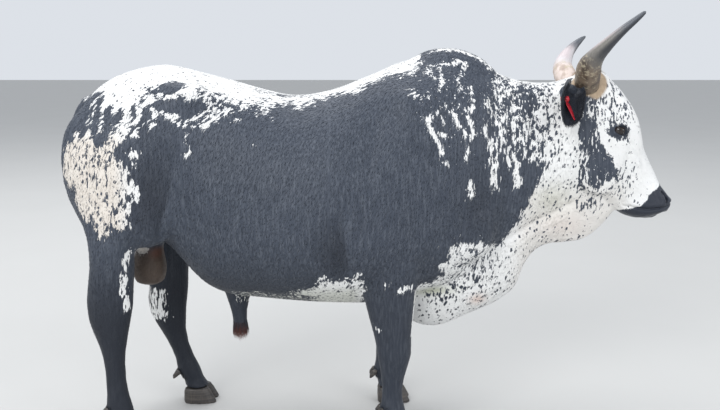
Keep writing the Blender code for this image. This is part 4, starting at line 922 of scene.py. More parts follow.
class Tree:
    """Short calls for building a node tree."""

    def __init__(self, tree):
        self.nodes = tree.nodes
        self.links = tree.links

    def add(self, kind, **settings):
        node = self.nodes.new(kind)
        for key, value in settings.items():
            setattr(node, key, value)
        return node

    def join(self, value, socket):
        if isinstance(value, bpy.types.NodeSocket):
            self.links.new(value, socket)
        else:
            socket.default_value = value

    def feed(self, node, values):
        """Sets or links a node's inputs by name."""
        for key, value in values.items():
            self.join(value, node.inputs[key])

    def math(self, kind, *values):
        node = self.add("ShaderNodeMath", operation=kind)
        for value, socket in zip(values, node.inputs):
            self.join(value, socket)
        return node.outputs[0]

    def times(self, a, b):
        return self.math("MULTIPLY", a, b)

    def times_plus(self, a, b, c):
        return self.math("MULTIPLY_ADD", a, b, c)

    def less(self, a, b):
        return self.math("SUBTRACT", a, b)

    def scaled(self, vector, scale):
        node = self.add("ShaderNodeVectorMath", operation="MULTIPLY")
        self.feed(node, {0: vector, 1: scale})
        return node.outputs[0]

    def noise(self, vector, scale, detail=3.0, rough=0.55, output="Fac"):
        node = self.add("ShaderNodeTexNoise")
        self.feed(node, {"Vector": vector, "Scale": scale, "Detail": detail, "Roughness": rough})
        return node.outputs[output]

    def cells(self, vector, scale):
        """Distance to the nearest of scattered points, and a random value for each of them."""
        node = self.add("ShaderNodeTexVoronoi", feature="F1")
        self.feed(node, {"Vector": vector, "Scale": scale})
        split = self.add("ShaderNodeSeparateColor")
        self.links.new(node.outputs["Color"], split.inputs[0])
        return node.outputs["Distance"], split.outputs[0]

    def value(self, name, output="Fac"):
        node = self.add("ShaderNodeAttribute", attribute_type="GEOMETRY", attribute_name=name)
        return node.outputs[output]

    def place(self):
        return self.add("ShaderNodeTexCoord").outputs["Object"]

    def step(self, value, low, high):
        node = self.add("ShaderNodeMapRange", interpolation_type="SMOOTHSTEP")
        self.feed(node, {"Value": value, "From Min": low, "From Max": high})
        return node.outputs[0]

    def mix(self, share, a, b):
        """From colour a to colour b; a colour is a socket or red, green and blue."""
        node = self.add("ShaderNodeMix", data_type="RGBA")
        for index, value in ((0, share), (6, a), (7, b)):
            self.join((*value, 1.0) if isinstance(value, tuple) else value, node.inputs[index])
        return node.outputs[2]

    def bump(self, height, strength):
        node = self.add("ShaderNodeBump")
        self.feed(node, {"Height": height, "Strength": strength, "Distance": 1.0})
        return node.outputs[0]


def fresh(name):
    """A new material with its tree and its shader."""
    made = bpy.data.materials.new(name)
    made.use_nodes = True
    return made, Tree(made.node_tree), made.node_tree.nodes["Principled BSDF"]


def mottle(t, place, scale, detail, rough):
    """Patchy values from -1 to 1, drawn out along the hair."""
    turned = t.add("ShaderNodeVectorRotate", rotation_type="Y_AXIS")
    t.feed(turned, {"Vector": place, "Angle": math.radians(-55.0)})
    upright = t.noise(t.scaled(place, (1.0, 1.0, 0.30)), scale, detail, rough)
    leaning = t.noise(t.scaled(turned.outputs[0], (1.0, 1.0, 0.34)), scale, detail, rough)
    either = t.times_plus(t.less(leaning, upright), t.value("slant"), upright)
    return t.times_plus(either, 2.0, -1.0)


def sprinkle(t, place, scale, amount):
    """Small round flecks, more and bigger where the amount is."""
    gap, size = t.cells(place, scale)
    reach = t.times(t.times_plus(size, 0.55 * FLECK_SIZE, 0.45 * FLECK_SIZE), amount)
    return t.step(t.less(reach, gap), -0.04, 0.04)


def coat_colour(t):
    """The markings, with painted shade, painted sheen and painted sky reflection on the black, from the
    pattern's values and fine noise at the root's place.
    """
    root = t.value("root", "Vector")
    edge = t.times_plus(mottle(t, root, 38.0, 2.0, 0.5), t.value("ragged"), t.value("white"))
    edge = t.times_plus(mottle(t, root, 118.0, 3.0, 0.55), t.value("streak"), edge)
    white = t.step(edge, -0.0008, 0.0008)
    wobble = t.add("ShaderNodeVectorMath", operation="ADD")
    shaken = t.scaled(t.noise(root, 90.0, 1.0, 0.5, "Color"), (0.010, 0.010, 0.010))
    t.feed(wobble, {0: t.scaled(root, (1.0, 1.0, 0.66)), 1: shaken})
    bare = t.value("bare")
    white = t.times(white, t.less(1.0, sprinkle(t, wobble.outputs[0], 72.0, t.value("dark"))))
    white = t.math("MAXIMUM", white, sprinkle(t, wobble.outputs[0], 90.0, t.value("pale")))
    white = t.times(white, t.less(1.0, bare))

    # The black coat: its own dark colour, with a bluish lift that paints in the sky's reflection
    slate = t.mix(t.noise(root, 9.0), (0.040, 0.049, 0.067), (0.056, 0.067, 0.090))
    # Painted sheen: fine lighter, bluish streaks along the hair of the black
    gloss = t.step(t.noise(t.scaled(root, (1, 1, 0.10)), 150.0), 0.40, 0.75)
    slate = t.mix(gloss, slate, (0.090, 0.103, 0.128))
    # The black darkens with deep: painted shade in the folds and low on the legs
    slate = t.mix(t.times(t.value("deep"), 0.85), slate, (0.0130, 0.0155, 0.0220))
    chalk = t.mix(t.noise(root, 14.0), (0.74, 0.74, 0.72), (0.86, 0.86, 0.86))
    cream = t.mix(t.noise(root, 30.0), (0.56, 0.49, 0.42), (0.76, 0.71, 0.64))
    # Cream, olive grey and pink over the white; the olive grey under the belly is painted shade
    for name, share, tint in (
        ("cream", 0.85, cream), ("olive_grey", 0.75, (0.36, 0.38, 0.25)), ("pink", 0.55, (0.66, 0.44, 0.34)),
    ):
        chalk = t.mix(t.times(t.value(name), share), chalk, tint)
    tan = t.mix(t.noise(root, 22.0, 4.0), (0.060, 0.048, 0.042), (0.15, 0.11, 0.085))
    horn_skin = t.mix(t.noise(root, 60.0), (0.30, 0.22, 0.15), (0.56, 0.44, 0.31))
    colour = t.mix(bare, t.mix(white, slate, chalk), (0.029, 0.034, 0.047))
    for name, tint in (("tan", tan), ("prepuce", (0.17, 0.060, 0.042)), ("collar", horn_skin)):
        colour = t.mix(t.value(name), colour, tint)
    return colour, bare, root


COAT_GLOSS = {"Specular IOR Level": 0.24, "Sheen Weight": 0.04, "Sheen Roughness": 0.4}


def skin_material():
    """Hair drawn as relief, and pebbled bare skin at the muzzle and lids."""
    made, t, shader = fresh("bull_skin")
    colour, bare, root = coat_colour(t)
    lie = t.value("lie", "Vector")
    hair = t.noise(t.scaled(lie, (1.0, 1.0, 0.10)), 420.0, 2.0)
    locks = t.noise(t.scaled(lie, (1.0, 1.0, 0.14)), 120.0)
    pebble, _ = t.cells(root, 330.0)
    height = t.times(t.times_plus(hair, 0.0005, t.times(locks, 0.0011)), t.less(1.0, bare))
    height = t.times_plus(t.times(pebble, bare), 0.0009, height)
    rough = t.times_plus(bare, -0.16, t.times_plus(t.noise(root, 40.0), 0.16, 0.42))
    t.feed(shader, {"Base Color": colour, "Normal": t.bump(height, 0.9), "Roughness": rough, **COAT_GLOSS})
    return made


def tuft_material():
    """The markings on hair, each hair a little lighter or darker."""
    made, t, shader = fresh("bull_coat")
    colour = coat_colour(t)[0]
    shade = t.value("shade")
    node = t.add("ShaderNodeVectorMath", operation="SCALE")
    t.feed(node, {0: colour, "Scale": t.times_plus(shade, 0.16, 0.92)})
    rough = t.times_plus(shade, 0.15, 0.40)
    t.feed(shader, {"Base Color": node.outputs[0], "Roughness": rough, **COAT_GLOSS})
    return made


def dress(item, fields):
    """Writes the pattern's values on a mesh."""
    for name in FIELDS:
        put_value(item.data, name, fields[name])


def lie_vectors(points):
    """Places turned so that their third axis runs along the hair."""
    head = to_head(points)
    share = ease(head[:, 0] + 0.2 * (head[:, 2] - 1.0), 0.74, 0.84) * ease(head[:, 2], 0.72, 0.80)
    c, s = math.cos(math.radians(38)), math.sin(math.radians(38))
    turned = np.stack([head[:, 0] * c + head[:, 2] * s, head[:, 1], head[:, 2] * c - head[:, 0] * s], 1)
    return lerp(points, turned, share[:, None])


# Tufts
def hair_way(points, normals):
    """Which way the hair lies at each place."""
    turn = TURN[:3, :3]
    head = to_head(points)
    ways = ((0.62, 0.0, -0.78), (-0.45, 0.0, 0.85), (-0.35, 0.0, -0.9))
    down, back, cheek = (turn @ np.array(row) for row in ways)
    front = ease(normals @ (turn @ np.array((0.8, 0.0, 0.6))), 0.2, 0.6)
    face = lerp(cheek, down, front[:, None])
    face = lerp(face, back, ease(head[:, 2], 1.10, 1.18)[:, None])
    way = np.tile(np.array((-0.30, 0.0, -1.0)), (len(points), 1))
    way = lerp(way, np.array((-1.0, 0.0, -0.1)), ease(normals[:, 2], 0.55, 0.95)[:, None])
    way = lerp(way, np.array((-1.0, 0.0, -0.15)), ease(-normals[:, 2], 0.5, 0.9)[:, None])
    on_head = ease(head[:, 0], 0.76, 0.82) * ease(head[:, 2], 0.74, 0.80)
    way = lerp(way, face, on_head[:, None]) + RNG.normal(0.0, 0.10, way.shape)
    return along_skin(way, normals)


def scatter(points, normals, triangles, weight, count):
    """Even random places on a surface with their normals, denser where the weight is higher."""
    triangles = triangles[weight[triangles].min(axis=1) > 0.0]
    a, b, c = (points[triangles[:, k]] for k in range(3))
    area = 0.5 * np.linalg.norm(np.cross(b - a, c - a), axis=1)
    load = np.cumsum(area * weight[triangles].mean(axis=1))
    at = (np.arange(count) + RNG.random(count)) / count * load[-1]
    face = np.minimum(np.searchsorted(load, at), len(triangles) - 1)
    u, v = RNG.random(count), RNG.random(count)
    flip = u + v > 1
    u[flip], v[flip] = 1 - u[flip], 1 - v[flip]
    mix = np.stack([1 - u - v, u, v], 1)[:, :, None]
    corners = triangles[face]
    return (points[corners] * mix).sum(1), unit((normals[corners] * mix).sum(1))


def grown(name, rows, pattern, fields, root, spot, uv, material):
    """Many small bodies of one pattern in a piece, each with its root's markings and map patch."""
    count, size, _ = rows.shape
    faces = (np.arange(count) * size)[:, None, None] + np.array(pattern)[None]
    item = new_mesh(name, rows.reshape(-1, 3), faces.reshape(-1, 3))
    mesh = item.data
    dress(item, {key: np.repeat(fields[key], size) for key in FIELDS})
    put_vector(mesh, "root", np.repeat(root, size, axis=0))
    put_value(mesh, "shade", np.repeat(RNG.random(count), size))
    patch = uv[:, None, :] * 0.996 + spot[None]
    layer = mesh.uv_layers.new(name="OFBake")
    corner = patch.reshape(-1, 2)[faces.reshape(-1)]
    layer.data.foreach_set("uv", np.ascontiguousarray(corner, np.float32).ravel())
    mesh.materials.append(material)
    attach(item, "root")
    return item


# A tuft's triangles and the places of its seven points on its map patch
TUFT_PATTERN = (
    (0, 2, 1), (0, 1, 4), (0, 4, 3), (1, 2, 5), (1, 5, 4), (2, 0, 3), (2, 3, 5), (3, 4, 6), (4, 5, 6),
    (5, 3, 6),
)
TUFT_SPOTS = ((0, 0), (.003, 0), (.0015, .001), (.0005, .0015), (.0025, .0015), (.0015, .002), (.0015, .003))
TUFT_SINK = 0.0012


def blades(name, root, normal, way, length, width, lift, droop, fields, uv, material):
    """Thin closed tufts: a three-cornered root, a three-cornered middle and a tip."""
    side = unit(np.cross(way, normal)) * width[:, None]
    thick = normal * (width * 0.24)[:, None]
    base = root - normal * TUFT_SINK
    mid = root + way * (length * 0.5)[:, None] + normal * lift[:, None]
    tip = root + way * length[:, None] + normal * droop[:, None]
    rows = np.stack([
        base - side * 0.5, base + side * 0.5, base + thick,
        mid - side * 0.42, mid + side * 0.42, mid + thick, tip,
    ], 1)
    return grown(name, rows, TUFT_PATTERN, fields, root, np.array(TUFT_SPOTS), uv, material)


def unwrap(points, part):
    """Where a place lies on the opened-out skin of its part: along it and round it."""
    if part == "leg":
        along = points[:, 2]
        around = np.arctan2(points[:, 1] - np.median(points[:, 1]), points[:, 0] - np.median(points[:, 0]))
    elif part == "head":
        head = to_head(points)
        c, s = math.cos(math.radians(52)), math.sin(math.radians(52))
        along = head[:, 0] * c - head[:, 2] * s
        across = head[:, 0] * s + head[:, 2] * c
        around = np.arctan2(head[:, 1], across - np.median(across))
    else:
        along = points[:, 0]
        around = np.arctan2(points[:, 1], points[:, 2] - 0.93)
    return np.stack([stretched(along), stretched(around)], 1)


def grow_coat(skin, material):
    """Short flat tufts over the whole skin, in pieces by part of the body."""
    mesh = skin.data
    points, normals, triangles = points_of(mesh), normals_of(mesh), triangles_of(mesh)
    head = to_head(points)
    x, y, z = (points - SHIFT).T
    on_head = (ease(head[:, 0], 0.74, 0.78) * ease(head[:, 2], 0.70, 0.76)) > 0.5
    bare = read(mesh.attributes["bare"].data, "value", 1)[:, 0]
    keep = np.clip(1.0 - bare * 1.2, 0.0, 1.0)
    low = (z < 0.56) & (x < 0.36)
    # name, where, unwrap, tufts, length and width in metres
    regions = (
        ("neck", ~on_head & (x > 0.36), "body", 7000, 0.0130, 0.0015),
        ("shoulder", ~low & (x <= 0.36) & (x > -0.1), "body", 7600, 0.0145, 0.0016),
        ("flank", ~low & (x <= -0.1) & (x > -0.6), "body", 7600, 0.0145, 0.0016),
        ("rump", ~low & (x <= -0.6), "body", 7600, 0.0145, 0.0016),
        ("foreleg", low & (x > -0.1), "leg", 3500, 0.0085, 0.0012),
        ("hindleg", low & (x <= -0.1), "leg", 4100, 0.0085, 0.0012),
    )
    parts = [("coat_head", on_head, "head", 12500, 0.0068, 0.00105)]
    for side, here in (("right", y < 0), ("left", y >= 0)):
        parts += [("coat_%s_%s" % (name, side), mask & here, *rest) for name, mask, *rest in regions]
    for name, mask, part, count, length, width in parts:
        count = int(count * (1.0))
        root, normal = scatter(points, normals, triangles, mask * keep, count)
        way = hair_way(root, normal)
        long = length * (0.7 + 0.6 * RNG.random(count))
        wide = width * (0.7 + 0.6 * RNG.random(count))
        if part == "leg":
            fade = 0.65 + 0.35 * ease(root[:, 2], 0.1, 0.5)
            long, wide = long * fade, wide * fade
        lift = 0.0005 + 0.0004 * RNG.random(count)
        fields = markings(root)
        blades(name, root, normal, way, long, wide, lift, lift * 0.6, fields, unwrap(root, part), material)


# Long hair
def plain_fields(count, **changes):
    """The pattern's values for hair of one colour, black unless changed."""
    values = {**dict.fromkeys(FIELDS, 0.0), "white": -FAR, "deep": 0.6, **changes}
    return {key: np.full(count, float(values[key])) for key in FIELDS}


def strands(name, paths, radii, fields, uv, material, flat=1.0):
    """Closed tapered hairs, three sides each, along given paths."""
    count, steps, _ = paths.shape
    tangent = unit(np.gradient(paths, axis=1))
    ref = np.where(np.abs(tangent[:, :, :1]) > 0.9, np.array((0.0, 0.0, 1.0)), np.array((1.0, 0.0, 0.0)))
    across = unit(np.cross(tangent, ref))
    over = np.cross(across, tangent)
    rings = steps - 1
    size = rings * 3 + 1
    rows = np.empty((count, size, 3))
    pattern = [(0, 2, 1)]
    for k in range(3):
        angle = 2.0 * math.pi * k / 3.0
        offset = across * math.cos(angle) + over * (math.sin(angle) * flat)
        rows[:, k:rings * 3:3] = paths[:, :rings] + offset[:, :rings] * radii[:, :rings, None]
        for ring in range(rings - 1):
            a, b = ring * 3 + k, ring * 3 + (k + 1) % 3
            pattern += [(a, b, b + 3), (a, b + 3, a + 3)]
        pattern.append((size - 4 + k, size - 4 + (k + 1) % 3, size - 1))
    rows[:, -1] = paths[:, -1]
    step = np.arange(size)
    spot = np.stack([(step % 3) * 0.0012, (step // 3) * (0.003 / steps)], 1)
    return grown(name, rows, pattern, fields, paths[:, 0], spot, uv, material)


def tapered(count, steps, width):
    """Radii that swell a little and run out to a tip."""
    t = np.linspace(0.0, 1.0, steps)
    shape = (0.75 + 0.5 * np.sin(math.pi * np.minimum(t * 1.2, 1.0))) * (1.0 - t ** 2.2)
    return np.asarray(width).reshape(-1, 1) * shape[None] * np.ones((count, 1))


# Horns, as x, y, z and radius along the middle
RIGHT_HORN = (
    (0.800, -0.060, 1.275, 0.0430), (0.792, -0.100, 1.318, 0.0430), (0.790, -0.128, 1.350, 0.0400),
    (0.805, -0.155, 1.384, 0.0310), (0.835, -0.180, 1.423, 0.0235), (0.871, -0.200, 1.462, 0.0175),
    (0.909, -0.214, 1.497, 0.0125), (0.931, -0.220, 1.517, 0.0085), (0.939, -0.222, 1.524, 0.0045),
)
LEFT_HORN = (
    (0.776, 0.055, 1.272, 0.0410), (0.760, 0.090, 1.312, 0.0410), (0.757, 0.118, 1.346, 0.0345),
    (0.778, 0.150, 1.386, 0.0250), (0.808, 0.172, 1.418, 0.0180), (0.836, 0.184, 1.442, 0.0115),
    (0.850, 0.188, 1.452, 0.0070), (0.856, 0.190, 1.457, 0.0040),
)
# Growth rings: place along the horn, height, and how they lean
HORN_RIDGES = (
    (0.215, 1.0, 0.4), (0.243, 1.4, 1.9), (0.268, 0.8, 3.1), (0.300, 1.2, 0.9), (0.338, 0.9, 4.2),
    (0.372, 0.7, 2.6), (0.415, 0.7, 5.3), (0.460, 0.5, 1.2), (0.510, 0.4, 3.6),
)
# Dark and light of the root, dark and light of the middle
HORN_TINTS = {
    "brown": ((0.070, 0.050, 0.036), (0.185, 0.140, 0.100), (0.105, 0.098, 0.086), (0.24, 0.225, 0.205)),
    "pale": ((0.42, 0.33, 0.28), (0.68, 0.58, 0.53), (0.46, 0.43, 0.44), (0.68, 0.65, 0.67)),
}
HORN_RINGS = 190
HORN_SIDES = 56
RIDGE_WIDTH = 0.0105
RIDGE_HEIGHT = 0.0009


def smooth_line(rows, count):
    """Rows resampled evenly along a smooth curve."""
    rows = np.asarray(rows, float)
    extended = np.vstack([2 * rows[0] - rows[1], rows, 2 * rows[-1] - rows[-2]])
    t = np.linspace(0.0, len(rows) - 1 - 1e-9, count * 4)
    k = t.astype(int)
    f = (t - k)[:, None]
    a, b, c, d = (extended[k + j] for j in range(4))
    dense = 0.5 * (2 * b + (c - a) * f + (2 * a - 5 * b + 4 * c - d) * f**2 + (3 * b - a - 3 * c + d) * f**3)
    run = np.concatenate([[0.0], np.cumsum(np.linalg.norm(np.diff(dense[:, :3], axis=0), axis=1))])
    even = np.linspace(0.0, run[-1], count)
    return np.stack([np.interp(even, run, column) for column in dense.T], 1)


def horn(name, rows, kind):
    """A curved horn with worn growth rings near its root."""
    line = smooth_line(rows, HORN_RINGS)
    centre = line[:, :3] + SHIFT
    tangent = unit(np.gradient(centre, axis=0))
    across = unit(np.cross(tangent, np.array((0.0, 0.0, 1.0))))
    over = np.cross(across, tangent)
    share = np.linspace(0.0, 1.0, HORN_RINGS)[:, None]
    angle = np.linspace(0.0, 2.0 * math.pi, HORN_SIDES, endpoint=False)
    ridge = np.zeros((HORN_RINGS, HORN_SIDES))
    for at, high, phase in HORN_RIDGES:
        bent = share - at - 0.006 * np.sin(angle + phase) - 0.003 * np.sin(3.0 * angle + 2.0 * phase)
        ridge += high * np.exp(-(bent / RIDGE_WIDTH) ** 2) * (0.45 + 0.55 * np.sin(angle + 1.7 * phase) ** 2)
    grain = 0.00016 * np.sin(angle * 19.0 + 2.0 * np.sin(angle * 3.0))
    radius = (line[:, 3:4] - 0.0013 + RIDGE_HEIGHT * ridge + grain) * (1.0 + 0.045 * np.cos(2.0 * angle))
    radius = radius * np.sqrt(np.clip((1.0 - share) / 0.012, 0.0, 1.0)) * 0.985
    turn = across[:, None] * np.cos(angle)[:, None] + over[:, None] * np.sin(angle)[:, None]
    rows = (centre[:, None] + radius[:, :, None] * turn).reshape(-1, 3)
    item = new_mesh(name, np.vstack([rows, centre[:1], centre[-1:]]), tube_faces(HORN_RINGS, HORN_SIDES))
    put_value(item.data, "along", np.append(np.repeat(share, HORN_SIDES), (0.0, 1.0)))
    put_value(item.data, "ridge", np.append(ridge, (0.0, 0.0)))
    put_value(item.data, "around", np.append(np.tile(np.sin(angle), HORN_RINGS), (0.0, 0.0)))
    item.data.materials.append(horn_material(name + "_horn", kind))
    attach(item, "root")
    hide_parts(name)


def horn_material(name, kind):
    """Scuffed root, paler middle and slate tip, with a rosy painted highlight on the upper side and a dark
    lower side, partly the horn's own slate and partly painted shade.
    """
    made, t, shader = fresh(name)
    root_dark, root_light, middle_dark, middle_light = HORN_TINTS[kind]
    place, along, around = t.place(), t.value("along"), t.value("around")
    noise = t.noise(t.scaled(place, (1, 1, 0.5)), 42.0, 4.0)
    scratch = t.noise(t.scaled(place, (1.0, 1.0, 0.25)), 260.0, 4.0, 0.7)
    shifted = t.times_plus(t.less(noise, 0.5), 0.16, along)
    root = t.mix(t.step(noise, 0.36, 0.60), root_dark, root_light)
    middle = t.mix(scratch, middle_dark, middle_light)
    tip = t.mix(scratch, (0.052, 0.060, 0.074), (0.125, 0.135, 0.155))
    colour = t.mix(t.step(shifted, 0.27, 0.42), root, middle)
    # Painted highlight: a rosy light along the upper side
    rosy = t.times(t.step(around, 0.25, 0.95), t.step(shifted, 0.36, 0.50))
    colour = t.mix(t.times(rosy, 0.75), colour, (0.52, 0.44, 0.45))
    colour = t.mix(t.step(shifted, 0.56, 0.84), colour, tip)
    # The lower side goes dark slate: partly the horn's own colour, partly painted shade
    under = t.step(t.times_plus(around, -1.0, t.times(noise, 0.3)), -0.05, 0.80)
    slate = t.times(under, t.step(shifted, 0.28, 0.55))
    colour = t.mix(t.times(slate, 0.90), colour, (0.020, 0.024, 0.034))
    worn = t.times_plus(t.value("ridge"), 0.10, t.noise(t.scaled(place, (1.0, 1.0, 1.6)), 70.0, 5.0, 0.65))
    worn = t.times(t.step(worn, 0.56, 0.68), t.step(along, 0.42, 0.36))
    colour = t.mix(t.times(worn, 0.55), colour, (0.50, 0.44, 0.31))
    t.feed(shader, {
        "Base Color": colour, "Normal": t.bump(t.times(scratch, 0.0005), 0.8),
        "Roughness": t.times_plus(scratch, 0.30, 0.26),
    })
    return made


# Ears
EAR_ROOT = (0.731, -0.084, 1.273)
EAR_TIP = (0.703, -0.212, 1.156)
EAR_OPENING = (0.45, -0.80, 0.35)
EAR_LENGTH = 0.174
LEFT_EAR_SHIFT = (-0.020, 0.0, -0.022)
EAR_SHARES = (0.0, 0.15, 0.30, 0.50, 0.70, 0.85, 0.95, 1.0)
EAR_HALF_WIDTHS = (0.025, 0.034, 0.043, 0.049, 0.048, 0.038, 0.025, 0.008)
EAR_CURLS = (140.0, 112.0, 84.0, 62.0, 52.0, 46.0, 40.0, 36.0)
EAR_SAG = -0.012
EAR_DARK = {"bare": 0.45, "deep": 1.0}


def ear_frame(side):
    """The ear's own frame: along it, across it and out of its cup."""
    root, tip = Vector(EAR_ROOT), Vector(EAR_TIP)
    along = (tip - root).normalized()
    opening = Vector(EAR_OPENING)
    opening = (opening - along * opening.dot(along)).normalized()
    columns = [(*row, 0.0) for row in (along, opening.cross(along), opening)]
    frame = Matrix((*columns, (*root, 1.0))).transposed()
    if side > 0:
        frame = Matrix.Translation(LEFT_EAR_SHIFT) @ Matrix.Diagonal((1.0, -1.0, 1.0, 1.0)) @ frame
    return np.array(Matrix.Translation(Vector(SHIFT)) @ frame)


def ear_place(u, v, depth):
    """Places on the ear's inner face, in its own frame."""
    half = np.interp(u, EAR_SHARES, EAR_HALF_WIDTHS)
    curl = np.radians(np.interp(u, EAR_SHARES, EAR_CURLS))
    radius = half / np.sin(np.minimum(curl, math.pi / 2.0))
    angle = curl * v
    reach = radius - depth
    height = radius - reach * np.cos(angle) + EAR_SAG * u * u
    return np.stack([u * EAR_LENGTH, reach * np.sin(angle), height], 1)


def ear(name, side, coat, hide):
    """A black ear with short fur, a fringe on both rims and a screen of long hairs in its cup."""
    item = moulded(name + "_skin", *welded(name), 0.0025, 14)
    mesh = item.data
    points = points_of(mesh) - normals_of(mesh) * 0.0006
    put_points(mesh, points)
    dress(item, plain_fields(len(points), **EAR_DARK))
    put_vector(mesh, "root", points)
    put_vector(mesh, "lie", points)
    mesh.materials.append(hide)
    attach(item, "root")
    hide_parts(name)

    table = ear_frame(side)
    along, origin = table[:3, 0], table[:3, 3]
    amount = 2400
    weight = ease((points - origin) @ along, 0.015, 0.04)
    root, normal = scatter(points, normals_of(mesh), triangles_of(mesh), weight, amount)
    way = along_skin(along + RNG.normal(0.0, 0.16, (amount, 3)), normal)
    long = 0.010 * (0.7 + 0.6 * RNG.random(amount))
    lift = 0.0008 + 0.0008 * RNG.random(amount)
    local = (root - origin) @ table[:3, :3]
    around = 0.5 + np.arctan2(local[:, 1], local[:, 2] - 0.03) / (2.1 * math.pi)
    uv = np.clip(np.stack([local[:, 0] / 0.21, around], 1), 0.0, 1.0)
    fields = plain_fields(amount, **EAR_DARK)
    wide = np.full(amount, 0.0013)
    blades(name + "_fur", root, normal, way, long, wide, lift, lift * 0.8, fields, uv, coat)

    rims = 900
    u = 0.12 + 0.86 * RNG.random(rims)
    v = np.where(RNG.random(rims) < 0.5, -1.0, 1.0) * (0.90 + 0.08 * RNG.random(rims))
    inside = RNG.random(rims) < 0.45
    v = np.where(inside, v * (0.45 + 0.5 * RNG.random(rims)), v)
    base = moved(ear_place(u, v, 0.0), table)
    inner = unit(moved(ear_place(u, v * 0.9, 0.01), table) - base)
    fling = unit(along * 0.9 + inner * 0.35 + RNG.normal(0.0, 0.16, (rims, 3)))
    size = np.where(inside, 0.020, 0.015) * (0.6 + 0.8 * RNG.random(rims))
    sink = np.array((0.0, 0.0, -0.30)) * (size[:, None, None] * HAIR_STEPS**2)
    paths = hair_paths(base, fling, size) + sink + inner[:, None] * (0.0008 - 0.0008 * HAIR_STEPS)
    uv = np.clip(np.stack([u, 0.5 + 0.45 * v], 1), 0.0, 1.0)
    radii = tapered(rims, 6, np.full(rims, 0.00045))
    strands(name + "_fringe", paths, radii, plain_fields(rims, **EAR_DARK), uv, coat)


# Eyes
EYE_RINGS = 62
EYE_SIDES = 72
CORNEA = 0.0025


def eye(name, side, coat):
    """A glossy eyeball with a dark iris and a wide flat pupil, and its lashes."""
    along, up, out, centre = eye_frame(side)
    polar = np.linspace(0.0, math.pi, EYE_RINGS + 2)[1:-1, None]
    angle = np.linspace(0.0, 2.0 * math.pi, EYE_SIDES, endpoint=False)
    wide = np.sin(polar) * EYE_RADIUS
    high = np.cos(polar) * EYE_RADIUS + np.maximum(0.0, np.cos(polar) - 0.75) * 4.0 * CORNEA
    local = np.stack([wide * np.cos(angle), wide * np.sin(angle), high + 0.0 * angle], 2).reshape(-1, 3)
    local = np.vstack([local, (0, 0, EYE_RADIUS + CORNEA), (0, 0, -EYE_RADIUS)])
    table = np.stack([along, np.cross(out, along), out], 1)
    item = new_mesh(name + "_ball", centre + local @ table.T, tube_faces(EYE_RINGS, EYE_SIDES))
    put_vector(item.data, "look", local)
    item.data.materials.append(eye_material())
    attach(item, "root")
    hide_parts(name)

    amount = 230
    upper = RNG.random(amount) < 0.68
    share = RNG.uniform(-0.86, 0.90, amount)
    a = share * LID_REACH
    bow = np.clip(1.0 - share**2, 0.0, 1.0)
    b = np.where(upper, LID_TOP * bow**0.62, -LID_FOOT * bow**0.72) + LID_LEAN * share
    b += np.where(upper, math.radians(3.0), -math.radians(3.0))
    v = unit(out + along * np.tan(a)[:, None] + up * np.tan(b)[:, None])
    base = centre + v * (EYE_RADIUS + 0.0016)
    turn = np.where(upper, 1.0, -1.0)[:, None]
    fling = v * 0.9 + up * turn * 0.10 - up * 0.15 + along * (0.45 * share)[:, None]
    fling = unit(fling + RNG.normal(0, 0.10, (amount, 3)))
    size = np.where(upper, 0.0125, 0.0065) * (0.7 + 0.5 * RNG.random(amount))
    bend = turn[:, None] * 0.42 * HAIR_STEPS**2 + np.where(upper, -0.20, 0.0)[:, None, None] * HAIR_STEPS
    paths = hair_paths(base, fling, size) + up * (bend * size[:, None, None])
    uv = np.stack([0.5 + 0.45 * share, np.where(upper, 0.75, 0.25)], 1)
    radii = tapered(amount, 6, np.full(amount, 0.00032))
    strands(name + "_lashes", paths, radii, plain_fields(amount), uv, coat)


def eye_material():
    """Pupil, iris, its dark rim and the dark white, from the middle outwards."""
    made, t, shader = fresh("bull_eye")
    look = t.value("look", "Vector")
    split = t.add("ShaderNodeSeparateXYZ")
    t.feed(split, {0: look})
    x, y, z = split.outputs
    across, upward = t.times(x, x), t.times(y, y)
    r = t.math("SQRT", t.math("ADD", across, upward))
    flat = t.math("SQRT", t.math("ADD", t.times(across, 0.26), upward))
    rays = t.noise(t.scaled(look, (1.0, 1.0, 0.1)), 900.0)
    iris = t.mix(rays, (0.012, 0.008, 0.006), (0.040, 0.024, 0.015))
    white = t.mix(t.noise(look, 300.0), (0.014, 0.011, 0.011), (0.040, 0.032, 0.031))
    colour = t.mix(t.step(r, 0.0128, 0.0150), iris, white)
    rim = t.mix(t.step(r, 0.0136, 0.0156), (0.006, 0.005, 0.005), white)
    colour = t.mix(t.step(r, 0.0112, 0.0132), colour, rim)
    colour = t.mix(t.step(flat, 0.0040, 0.0046), (0.0035, 0.004, 0.006), colour)
    colour = t.mix(t.step(z, 0.004, 0.009), (0.024, 0.017, 0.017), colour)
    t.feed(shader, {
        "Base Color": colour, "Roughness": t.times_plus(t.noise(look, 500.0), 0.05, 0.05),
        "Coat Weight": 0.35, "Coat Roughness": 0.03, "Specular IOR Level": 0.35,
    })
    return made


